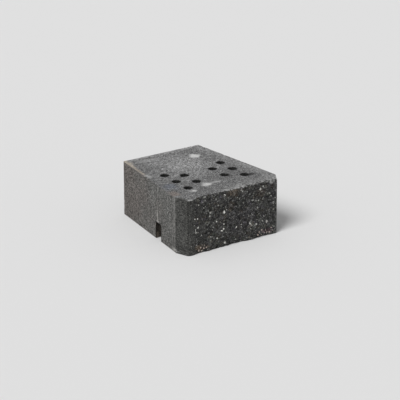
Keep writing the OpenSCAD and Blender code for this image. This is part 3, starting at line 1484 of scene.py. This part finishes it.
        # painted shade: the bevels and the broken face's outer edge take the bevels' darker colour,
        # reaching a little past the arris as a rounded arris's shade would
        nose = surface.part(Part.NOSE, Part.SPLIT) * fall(y, p.side_y + 3.5 * MM, 2.5 * MM)
        toothed = rise(x, 10 * MM, 50 * MM) * fall(x, 128 * MM, 20 * MM)
        spall = self.edge_spall(surface) * (1 - 0.8 * toothed * bite)
        dust = split * covered(self.dusty, x, z, ragged)
        return {
            "broken": broken * ((1 - 0.85 * spall) * (1 - self.dust_share * dust)),
            # the bevels' painted shade, and the top along the left bevel
            "nose": np.maximum(nose, worn) * (1 - spall),
            "top": top,
            "pale": self.pale(surface, top, spall),
            "torn": channel.astype(float),
            "dark": self.dark(surface, top),
            "warm": self.warm(surface, top),
            "cool": top * self.cool_corner.cover(x, y, ragged),
            "bloom": top * self.bloom.cover(x, y, ragged, 1.0),
            "rust": split * covered(self.rust, x, z, ragged),
            "purple": split * covered(self.purple, x, z, ragged),
        }

    def build(self) -> bpy.types.Object:
        """Adds the patches, welds them, wears the edges, sinks the relief.

        Returns:
            The finished piece.
        """
        z, share = self.heights(), self.shares()
        z_fine, share_fine = subdivide(z), subdivide(share)
        shell = Shell()
        self.add_front(shell, z_fine, share_fine)
        self.add_side(shell, False, z_fine, z)
        self.add_side(shell, True, z_fine, z)
        self.add_back(shell, z, share)
        self.add_level(shell, True, share_fine, share)
        self.add_level(shell, False, share_fine, share)
        self.add_channel(shell, z, share)
        points, on, level, quads, tris = shell.welded()
        open_edges, volume = faults(points, quads, tris)
        log.info("casting: %d vertices, %d triangles, %d open edges, %.6f m3",
                 len(points), 2 * len(quads) + len(tris), open_edges, volume)
        sharp = Surface(points, on, level)
        points = self.round_back_corners(sharp)
        points = self.round_level_edges(points, sharp)
        normals = vertex_normals(points, quads, tris)
        points = points - normals * self.relief(sharp)[:, None]
        points = np.clip(points, self.plan.low, self.plan.high)
        piece = make_object("casting", points, quads, tris)
        for name, values in self.tones(sharp).items():
            paint(piece, name, values)
        return piece


# ---- the stones that the fracture laid bare ----------------------------------


@dataclass(frozen=True)
class Stone:
    """One stone that stands out: its place on the broken face, its radius and
    how bright it is, from 0 to 1."""

    x: float
    z: float
    radius: float
    light: float


def chosen(scale: float, *rows: Tuple[float, float, float, float]) -> Tuple[Stone, ...]:
    """Stones from rows of a place and a radius in a given unit, and a brightness."""
    return tuple(Stone(*(v * scale for v in row[:3]), row[3]) for row in rows)


@dataclass
class ExposedStones:
    """Crushed stones that the fracture has cut through: jittered icosahedra, drawn
    out and laid flat in the broken face."""

    plan: Plan
    count: int = 460
    seed: int = 5
    least: float = 0.9 * MM
    most: float = 2.6 * MM
    flatness: float = 0.5
    sunk: float = 0.22
    margin: float = 8 * MM
    small_bias: float = 2.2       # over 1, most of the scattered stones are small
    dark_bias: float = 1.6        # over 1, most are dark
    jitter: Tuple[float, float] = (0.6, 1.15)
    lengths: Tuple[float, float] = (0.75, 1.3)
    widths: Tuple[float, float] = (0.6, 1.0)
    marked: Tuple[Stone, ...] = chosen(
        MM, (-28, 94, 7.2, 1.0), (-123, 97, 4.0, 1.0), (-114, 95, 4.0, 1.0), (-124, 80, 5.0, 1.0),
        (-121, 66, 5.2, 1.0), (-120, 60, 4.2, 0.9), (-113, 72, 4.0, 0.9), (-37, 46, 4.2, 0.9),
        (-31, 49, 4.2, 1.0), (-51, 73, 3.4, 0.7), (-99, 47, 3.4, 0.8), (-50, 28, 4.8, 0.8),
        (-26, 10, 4.4, 0.7), (-106, 130, 4.2, 0.6), (85, 131, 4.8, 0.25), (88, 125, 4.4, 0.2),
        (52, 46, 4.3, 0.55), (105, 39, 4.4, 0.35), (-71, 91, 4.2, 0.5), (11, 44, 4.2, 0.7),
        (-132, 25, 3.6, 0.8), (98, 55, 3.2, 0.4), (70, 40, 3.2, 0.6), (-87, 138, 3.4, 0.5),
        (-26, 140, 3.8, 0.7), (-30, 62, 3.2, 0.5), (78, 104, 3.6, 0.6), (92, 43, 3.4, 0.45),
        (-70, 100, 3.4, 0.5), (-90, 118, 3.0, 0.5), (118, 108, 3.4, 0.35), (132, 100, 3.2, 0.4),
    )
    rusty: Tuple[Stone, ...] = chosen(
        MM, (-117, 13, 3.2, 0.6), (-111, 20, 3.0, 0.5), (-108, 8, 3.2, 0.6), (-102, 14, 3.4, 0.7),
        (-99, 5, 3.0, 0.7), (-97, 20, 3.0, 0.5), (-93, 10, 3.2, 0.7), (-89, 17, 3.0, 0.6),
        (-85, 11, 2.8, 0.5), (77, 9, 3.4, 0.8), (81, 15, 3.4, 0.7), (89, 20, 3.4, 0.8),
        (95, 12, 3.0, 0.5), (101, 18, 3.0, 0.5), (107, 9, 3.2, 0.7), (112, 16, 2.8, 0.5),
        (116, 7, 3.2, 0.7), (121, 19, 3.2, 0.9), (126, 11, 3.0, 0.6), (91, 6, 3.0, 0.5),
    )

    def solid(self) -> Tuple[Array, Array]:
        """An icosahedron of radius 1: three golden rectangles at right angles.

        Returns:
            Their corners, and the triples of them that lie one edge apart.
        """
        golden = (1 + math.sqrt(5)) / 2
        sides = np.array([[0, -1, -golden], [0, -1, golden], [0, 1, -golden], [0, 1, golden]])
        corners = np.concatenate([np.roll(sides, turn, axis=1) for turn in range(3)])
        gap = np.linalg.norm(corners[:, None] - corners[None], axis=2)
        near = np.abs(gap - 2) < 1e-6
        i, j, k = np.indices((len(corners),) * 3).reshape(3, -1)
        joined = (i < j) & (j < k) & near[i, j] & near[j, k] & near[i, k]
        trio = np.column_stack([i, j, k])[joined]
        a, b, c = (corners[trio[:, k]] for k in range(3))
        inside_out = (np.cross(b - a, c - a) * a).sum(1) < 0
        trio[inside_out] = trio[inside_out][:, ::-1]
        return corners / np.linalg.norm(corners[0]), trio

    def build(self) -> bpy.types.Object:
        """Sets every stone into the fracture, so that little of it stands out.

        Returns:
            The finished piece.
        """
        rng = np.random.default_rng(self.seed)
        left = -self.plan.nose_x(self.plan.sizes.left_draw) + self.margin
        right = float(self.plan.right_arris(np.array([0.0]))[0, 0]) - self.margin
        x = rng.uniform(left, right, self.count)
        z = rng.uniform(0.5 * self.margin, self.plan.height - self.margin, self.count)
        radius = self.least + (self.most - self.least) * rng.random(self.count) ** self.small_bias
        picked = np.array([(s.x, s.z, s.radius, s.light) for s in self.marked + self.rusty])
        x = np.concatenate([picked[:, 0], x])
        z = np.concatenate([picked[:, 1], z])
        radius = np.concatenate([picked[:, 2], radius])
        y = self.plan.rough_fracture(x, z) + self.sunk * radius
        base, trio = self.solid()
        total, corners = len(x), len(base)
        turn = np.linalg.qr(rng.normal(size=(total, 3, 3)))[0]
        turn *= np.sign(np.linalg.det(turn))[:, None, None]
        rough = base[None] * rng.uniform(*self.jitter, (total, corners, 1))
        shape = np.einsum("nij,nkj->nki", turn, rough)
        length, width = rng.uniform(*self.lengths, total), rng.uniform(*self.widths, total)
        shape = shape * np.stack([length, np.full(total, self.flatness), width], axis=-1)[:, None, :]
        angle = rng.uniform(0, math.pi, total)[:, None]
        across = shape[..., 0] * np.cos(angle) - shape[..., 2] * np.sin(angle)
        upward = shape[..., 0] * np.sin(angle) + shape[..., 2] * np.cos(angle)
        shape = np.stack([across, shape[..., 1], upward], -1) * radius[:, None, None]
        points = shape + np.stack([x, y, z], -1)[:, None, :]
        tris = (trio[None] + corners * np.arange(total)[:, None, None]).reshape(-1, 3)
        points = np.clip(points.reshape(-1, 3), self.plan.low, self.plan.high)
        piece = make_object("exposed_stones", points, np.zeros((0, 4), int), tris, smooth=False)
        paint(piece, "shade", np.repeat(rng.random(total) ** self.dark_bias, corners))
        bright, tinted = np.zeros(total), np.zeros(total)
        bright[:len(picked)] = picked[:, 3]
        tinted[len(self.marked):len(picked)] = 1.0
        paint(piece, "marked", np.repeat(bright, corners))
        paint(piece, "tinted", np.repeat(tinted, corners))
        log.info("exposed stones: %d, %d triangles", total, len(tris))
        return piece


# ---- finishes ----------------------------------------------------------------


@dataclass
class Nodes:
    """A material's node tree, with short ways to add and join nodes."""

    material: bpy.types.Material
    place: Optional[bpy.types.NodeSocket] = None

    def add(
        self, kind: str, inputs: Optional[Dict[object, object]] = None, **settings: object
    ) -> bpy.types.Node:
        """Adds a node.

        Args:
            kind: Its type.
            inputs: Values or output sockets, by input name or number.
            settings: Its own properties.

        Returns:
            The node.
        """
        node = self.material.node_tree.nodes.new(kind)
        for name, value in settings.items():
            setattr(node, name, value)
        for name, value in (inputs or {}).items():
            self.feed(node.inputs[name], value)
        return node

    def feed(self, socket: bpy.types.NodeSocket, value: object) -> None:
        """Gives a socket its value, or joins it to an output.

        Args:
            socket: The input.
            value: A number, a colour or an output socket.
        """
        if isinstance(value, bpy.types.NodeSocket):
            self.material.node_tree.links.new(value, socket)
        elif isinstance(value, tuple) and len(value) == 3 and len(socket.default_value) == 4:
            socket.default_value = (*value, 1.0)
        else:
            socket.default_value = value

    def reckon(self, how: str, a: object, b: object, clamp: bool = False) -> bpy.types.NodeSocket:
        """Two numbers joined by the arithmetic that is named."""
        return self.add("ShaderNodeMath", {0: a, 1: b}, operation=how, use_clamp=clamp).outputs[0]

    def product(self, first: object, *rest: object) -> bpy.types.NodeSocket:
        """Multiplies numbers together.

        Args:
            first: A number or an output socket.
            rest: More of them.

        Returns:
            The product.
        """
        total = first
        for value in rest:
            total = self.reckon("MULTIPLY", total, value)
        return total

    def span(self, value: object, low: float, high: float, to_low: float = 0.0,
             to_high: float = 1.0) -> bpy.types.NodeSocket:
        """A number stretched from one span to another, held at its ends."""
        return self.add("ShaderNodeMapRange", {0: value, 1: low, 2: high, 3: to_low, 4: to_high}).outputs[0]

    def blend(self, share: object, a: object, b: object) -> bpy.types.NodeSocket:
        """Mixes two colours.

        Args:
            share: How much of the second, a number or an output socket.
            a: The first colour.
            b: The second colour.

        Returns:
            The mixed colour.
        """
        node = self.add("ShaderNodeMix", data_type="RGBA")
        for place, value in ((0, share), (6, a), (7, b)):
            self.feed(node.inputs[place], value)
        return node.outputs[2]

    def scaled(self, colour: object, by: object) -> bpy.types.NodeSocket:
        """A colour made lighter or darker by a factor."""
        return self.add("ShaderNodeVectorMath", {0: colour, 3: by}, operation="SCALE").outputs[0]

    def number(self, name: str) -> bpy.types.NodeSocket:
        """The number painted on the vertices under a name."""
        return self.add("ShaderNodeAttribute", attribute_name=name).outputs["Fac"]

    def noise(self, size: float, detail: float = 2.0, stretch: float = 1.0,
              rough: float = 0.55, shift: float = 0.0) -> bpy.types.NodeSocket:
        """Noise of a given grain, drawn out upright.

        Args:
            size: Size of the grain.
            detail: How many finer layers it has.
            stretch: How many times longer it is upright.
            rough: How strong the finer layers are.
            shift: How far it is moved, so that two noises don't match.

        Returns:
            The noise, about 0 to 1.
        """
        spot = self.add("ShaderNodeMapping", {
            "Vector": self.place, "Location": (shift, shift, shift), "Scale": (1, 1, 1 / stretch),
        })
        return self.add("ShaderNodeTexNoise", {
            "Vector": spot.outputs[0], "Scale": 1 / size, "Detail": detail, "Roughness": rough,
        }).outputs["Fac"]

    def grains(self, size: float) -> Tuple[Sequence[bpy.types.NodeSocket], bpy.types.NodeSocket]:
        """Crushed grains.

        Args:
            size: Size of a grain.

        Returns:
            Three numbers that each grain has to itself, and the distance from its
            middle.
        """
        cell = self.add("ShaderNodeTexVoronoi", {
            "Vector": self.place, "Scale": 1 / size, "Randomness": 1.0,
        })
        numbers = self.add("ShaderNodeSeparateColor", {0: cell.outputs["Color"]}).outputs
        return numbers, cell.outputs["Distance"]


def new_nodes(name: str) -> Tuple[Nodes, bpy.types.Node]:
    """An empty material with its principled shader.

    Args:
        name: The finish's name.

    Returns:
        The tree helper and the shader node.
    """
    material = bpy.data.materials.new(name)
    material.use_nodes = True
    material.node_tree.nodes.clear()
    nodes = Nodes(material)
    nodes.place = nodes.add("ShaderNodeTexCoord").outputs["Object"]
    shader = nodes.add("ShaderNodeBsdfPrincipled", {"IOR": 1.45, "Metallic": 0.0})
    nodes.add("ShaderNodeOutputMaterial", {"Surface": shader.outputs[0]})
    return nodes, shader


@dataclass(frozen=True)
class ConcreteFinish:
    """Dry-pressed charcoal concrete: sandy skin outside, broken aggregate in front."""

    side: Colour = to_linear((95, 95, 93))
    side_warm: Colour = to_linear((94, 90, 87))
    top: Colour = to_linear((110, 110, 110))
    # colour of the broad brighter middle of the top
    bloom: Colour = to_linear((139, 139, 139))
    cool: Colour = to_linear((101, 105, 113))
    top_warm: Colour = to_linear((124, 116, 111))
    # the bevels' colour, darkened as painted shade for the light they miss
    nose: Colour = to_linear((69, 69, 67))
    torn: Colour = to_linear((100, 93, 84))
    pale: Colour = to_linear((204, 204, 203))
    cream: Colour = to_linear((192, 184, 168))
    matrix: Colour = to_linear((71, 71, 70))
    brown: Colour = to_linear((82, 77, 69))
    green: Colour = to_linear((69, 72, 68))
    mauve: Colour = to_linear((79, 76, 82))
    rust: Colour = to_linear((84, 73, 61))
    stain: Colour = to_linear((93, 81, 84))
    fleck: Colour = to_linear((160, 160, 156))
    hole_shade: float = 0.88
    bump: float = 0.9 * MM

    def skin(self, nodes: Nodes) -> bpy.types.NodeSocket:
        """The moulded skin's colour by the painted numbers, mottled and sandy.

        Args:
            nodes: The tree.

        Returns:
            The colour: each wall's own, the bevels darker as painted shade, warmed,
            cooled and brightened in patches, times broad and close noise, grains of sand and upright drag
            marks.
        """
        top, nose = nodes.number("top"), nodes.number("nose")
        warm = nodes.number("warm")
        side = nodes.blend(warm, self.side, self.side_warm)
        level = nodes.blend(nodes.number("bloom"), self.top, self.bloom)
        level = nodes.blend(nodes.number("cool"), level, self.cool)
        level = nodes.blend(warm, level, self.top_warm)
        colour = nodes.blend(top, side, level)
        # painted shade on the bevels
        colour = nodes.blend(nose, colour, self.nose)
        colour = nodes.blend(nodes.number("torn"), colour, self.torn)
        walls = nodes.reckon("SUBTRACT", 1.0, top, True)
        drag = nodes.span(nodes.noise(3.4 * MM, 3.0, stretch=14.0), 0.3, 0.7, -0.16, 0.16)
        dragged = nodes.reckon("ADD", 1.0, nodes.product(drag, walls))
        sand, _ = nodes.grains(2.3 * MM)
        fine, _ = nodes.grains(1.1 * MM)
        pits = nodes.noise(4.2 * MM, 2.0, rough=0.6, shift=7.0)
        flecks = nodes.noise(3.8 * MM, 2.0, rough=0.6, shift=11.0)
        tone = nodes.product(
            nodes.span(nodes.noise(40 * MM, 3.0), 0.3, 0.7, 0.88, 1.12),
            nodes.span(nodes.noise(12 * MM, 3.0, shift=3.0), 0.3, 0.7, 0.90, 1.10),
            nodes.span(nodes.noise(3.4 * MM, 4.0, rough=0.75, shift=5.0), 0.3, 0.7, 0.36, 1.64),
            nodes.span(sand[1], 0.0, 1.0, 0.30, 1.70),
            nodes.span(fine[0], 0.0, 1.0, 0.72, 1.28),
            nodes.span(pits, 0.60, 0.68, 1.0, 0.45),
            nodes.span(flecks, 0.62, 0.70, 1.0, 1.6),
            dragged,
        )
        pale = nodes.blend(warm, self.pale, self.cream)
        patchy = nodes.span(nodes.noise(4 * MM, 3.0, rough=0.7, shift=13.0), 0.3, 0.7, 0.45, 1.25)
        soft = nodes.product(nodes.number("pale"), patchy)
        return nodes.blend(soft, nodes.scaled(colour, tone), pale)

    def fracture(self, nodes: Nodes) -> Tuple[bpy.types.NodeSocket, bpy.types.NodeSocket]:
        """The broken face's colour, grain by grain.

        Args:
            nodes: The tree.

        Returns:
            The colour, and the height of the grains for the bump: a few grains
            in ten are brown, green or mauve, a few in a hundred are pale, each
            has its own shade, and the gaps between them are dark.
        """
        large, large_off = nodes.grains(5.6 * MM)
        small, small_off = nodes.grains(3.0 * MM)
        colour = nodes.blend(nodes.span(large[0], 0.66, 0.70, 0, 0.8), self.matrix, self.brown)
        colour = nodes.blend(nodes.span(large[0], 0.76, 0.80, 0, 0.9), colour, self.green)
        colour = nodes.blend(nodes.span(large[0], 0.92, 0.96, 0, 0.9), colour, self.mauve)
        colour = nodes.blend(nodes.product(nodes.number("purple"), 0.7), colour, self.mauve)
        purple = nodes.span(nodes.number("purple"), 0.45, 0.9)
        colour = nodes.blend(purple, colour, self.stain)
        colour = nodes.blend(nodes.number("rust"), colour, self.rust)
        colour = nodes.blend(nodes.span(small[2], 0.93, 0.98, 0, 0.8), colour, self.fleck)
        tone = nodes.product(
            nodes.span(large[1], 0.0, 1.0, 0.48, 1.52),
            nodes.span(small[0], 0.0, 1.0, 0.30, 1.80),
            nodes.span(small_off, 0.30, 0.75, 1.0, 0.5),
            nodes.span(nodes.noise(16 * MM, 3.0, shift=5.0), 0.3, 0.7, 0.80, 1.20),
            nodes.span(nodes.noise(1.1 * MM, 3.0, rough=0.7), 0.3, 0.7, 0.75, 1.25),
        )
        height = nodes.reckon("ADD", nodes.product(small_off, -0.7), nodes.product(large_off, -0.9))
        return nodes.scaled(colour, tone), height

    def make(self) -> bpy.types.Material:
        """Builds the node tree.

        Returns:
            The material: skin or fracture by how broken it is, darkened by the painted
            shade and the one dark line, rough, with sandy and grainy bumps.
        """
        nodes, shader = new_nodes("concrete_finish")
        broken = nodes.number("broken")
        stone, grain_height = self.fracture(nodes)
        colour = nodes.blend(broken, self.skin(nodes), stone)
        shade = nodes.span(nodes.number("dark"), 0.0, 1.0, 1.0, 1.0 - self.hole_shade)
        nodes.feed(shader.inputs["Base Color"], nodes.scaled(colour, shade))
        sand = nodes.noise(1.6 * MM, 2.0, rough=0.7)
        nodes.feed(shader.inputs["Roughness"], nodes.span(sand, 0.2, 0.8, 0.84, 0.97))
        shader.inputs["Specular IOR Level"].default_value = 0.3
        skin_height = nodes.reckon("ADD", sand, nodes.noise(5 * MM, 2.0, shift=9.0))
        lumps = nodes.product(grain_height, nodes.span(broken, 0.0, 1.0, 0.15, 1.3))
        height = nodes.reckon("ADD", skin_height, lumps)
        bump = nodes.add("ShaderNodeBump", {"Height": height, "Distance": self.bump, "Strength": 0.8})
        nodes.feed(shader.inputs["Normal"], bump.outputs[0])
        return nodes.material


@dataclass(frozen=True)
class StoneFinish:
    """Crushed pale stone, from grey to near white, each stone its own shade."""

    dark: Colour = to_linear((78, 77, 74))
    light: Colour = to_linear((140, 138, 133))
    bright: Colour = to_linear((226, 225, 220))
    peach: Colour = to_linear((208, 189, 179))

    def make(self) -> bpy.types.Material:
        """Builds the node tree.

        Returns:
            The material: the stone's own shade, flecked by fine noise.
        """
        nodes, shader = new_nodes("stone_finish")
        fleck = nodes.noise(0.8 * MM)
        colour = nodes.blend(nodes.number("shade"), self.dark, self.light)
        own = nodes.blend(nodes.number("tinted"), self.bright, self.peach)
        colour = nodes.blend(nodes.number("marked"), colour, own)
        tone = nodes.span(fleck, 0.25, 0.75, 0.8, 1.15)
        nodes.feed(shader.inputs["Base Color"], nodes.scaled(colour, tone))
        nodes.feed(shader.inputs["Roughness"], nodes.span(fleck, 0.2, 0.8, 0.6, 0.85))
        bump = nodes.add("ShaderNodeBump", {"Height": fleck, "Distance": 0.2 * MM, "Strength": 0.5})
        nodes.feed(shader.inputs["Normal"], bump.outputs[0])
        return nodes.material


# ---- the studio ----------------------------------------------------------------


@dataclass
class Studio:
    """A plain pale floor, soft light from the upper left, and the camera."""

    azimuth: float = -34.1
    elevation: float = 20.9
    distance: float = 4.916
    lens: float = 168.4
    sensor: float = 36.0
    clip_near: float = 0.1
    clip_far: float = 50.0
    aim: Tuple[float, float, float] = (0.0, 0.0017, 0.075)
    nudge_right: float = 0.00885
    nudge_up: float = -0.00645
    floor_shade: Colour = (0.80, 0.80, 0.80)
    floor_radius: float = 12.0
    floor_sides: int = 64
    floor_drop: float = 0.0002    # keeps the floor clear of the bed
    backdrop: float = 0.90
    ambient: float = 0.34
    sun_power: float = 2.35
    sun_from: Tuple[float, float, float] = (-0.60, -0.22, 0.77)
    sun_spread: float = 28.0

    def add_camera(self) -> None:
        """Places the camera by its azimuth, elevation and distance."""
        a, e = math.radians(self.azimuth), math.radians(self.elevation)
        back = Vector((math.sin(a) * math.cos(e), -math.cos(a) * math.cos(e), math.sin(e)))
        right = Vector((math.cos(a), math.sin(a), 0.0))
        up = back.cross(right)
        data = bpy.data.cameras.new("camera")
        data.lens, data.sensor_width = self.lens, self.sensor
        data.clip_start, data.clip_end = self.clip_near, self.clip_far
        camera = bpy.data.objects.new("camera", data)
        bpy.context.scene.collection.objects.link(camera)
        camera.rotation_mode = "QUATERNION"
        place = Vector(self.aim) + back * self.distance
        camera.location = place + right * self.nudge_right + up * self.nudge_up
        camera.rotation_quaternion = (-back).to_track_quat("-Z", "Y")
        bpy.context.scene.camera = camera

    def add_floor(self) -> None:
        """A wide round floor: a ring of points at one height, closed to a disc."""
        sides = self.floor_sides
        angle = np.linspace(0, 2 * math.pi, sides + 1)[:-1]
        ring = self.floor_radius * np.stack([np.cos(angle), np.sin(angle)], -1)
        points = np.full((sides + 1, 3), -self.floor_drop)
        points[:, :2] = np.vstack([ring, [0, 0]])
        step = np.arange(sides)
        tris = np.stack([step, (step + 1) % sides, np.full(sides, sides)], -1)
        floor = make_object("floor", points, np.zeros((0, 4), int), tris)
        nodes, shader = new_nodes("floor_finish")
        shader.inputs["Base Color"].default_value = (*self.floor_shade, 1.0)
        shader.inputs["Roughness"].default_value = 0.95
        floor.data.materials.append(nodes.material)

    def add_world(self) -> None:
        """Even light on the object, and a pale backdrop where the camera or a
        reflection sees past the floor."""
        world = bpy.data.worlds.new("studio")
        bpy.context.scene.world = world
        world.use_nodes = True
        tree = world.node_tree
        tree.nodes.clear()
        path = tree.nodes.new("ShaderNodeLightPath")
        seen = path.outputs["Is Camera Ray"]
        for name in ("Is Glossy Ray", "Is Transmission Ray"):
            most = tree.nodes.new("ShaderNodeMath")
            most.operation = "MAXIMUM"
            tree.links.new(seen, most.inputs[0])
            tree.links.new(path.outputs[name], most.inputs[1])
            seen = most.outputs[0]
        lights, shown, mixer, out = (tree.nodes.new(k) for k in (
            "ShaderNodeBackground", "ShaderNodeBackground", "ShaderNodeMixShader", "ShaderNodeOutputWorld"))
        lights.inputs["Strength"].default_value = self.ambient
        lights.inputs["Color"].default_value = (1, 1, 1, 1)
        shown.inputs["Color"].default_value = (1, 1, 1, 1)
        shown.inputs["Strength"].default_value = self.backdrop
        tree.links.new(seen, mixer.inputs[0])
        tree.links.new(lights.outputs[0], mixer.inputs[1])
        tree.links.new(shown.outputs[0], mixer.inputs[2])
        tree.links.new(mixer.outputs[0], out.inputs[0])

    def add_light(self) -> None:
        """One broad soft light from the upper left."""
        data = bpy.data.lights.new("key_light", "SUN")
        data.energy, data.angle = self.sun_power, math.radians(self.sun_spread)
        light = bpy.data.objects.new("key_light", data)
        light.rotation_mode = "QUATERNION"
        light.rotation_quaternion = (-Vector(self.sun_from)).to_track_quat("-Z", "Y")
        bpy.context.scene.collection.objects.link(light)

    def build(self) -> None:
        """Sets up the view, the floor, the light and the colour handling."""
        self.add_camera()
        self.add_floor()
        self.add_world()
        self.add_light()
        bpy.context.scene.view_settings.view_transform = "Standard"


def read_holes(record: Dict) -> Tuple[List[Hole], float]:
    """Takes the pin holes and the channel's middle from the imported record.

    Args:
        record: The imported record.

    Returns:
        The holes, and the channel's y.
    """
    holes, channel = [], 0.0
    for mount in record["mounts"]:
        x, y, _ = mount["pos_m"]
        if mount["kind"] == "bore":
            holes.append(Hole(x, y, mount["dims"]["r_mm"] * MM))
        elif mount["name"] == "pin_channel":
            channel = y
    return holes, channel


def main() -> None:
    """Builds the casting, its stones and the studio."""
    logging.basicConfig(level=logging.INFO, format="%(name)s: %(message)s")
    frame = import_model()
    low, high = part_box(NODE)
    plan = Plan(np.array(low), np.array(high))
    holes, channel_y = read_holes(frame["record"])

    casting = Casting(plan, holes, channel_y).build()
    casting.data.materials.append(ConcreteFinish().make())
    ride_as(casting, replaced=True)

    stones = ExposedStones(plan).build()
    stones.data.materials.append(StoneFinish().make())
    ride_as(stones, replaced=False)

    Studio().build()
    bpy.context.view_layer.update()


if __name__ == "__main__":
    main()
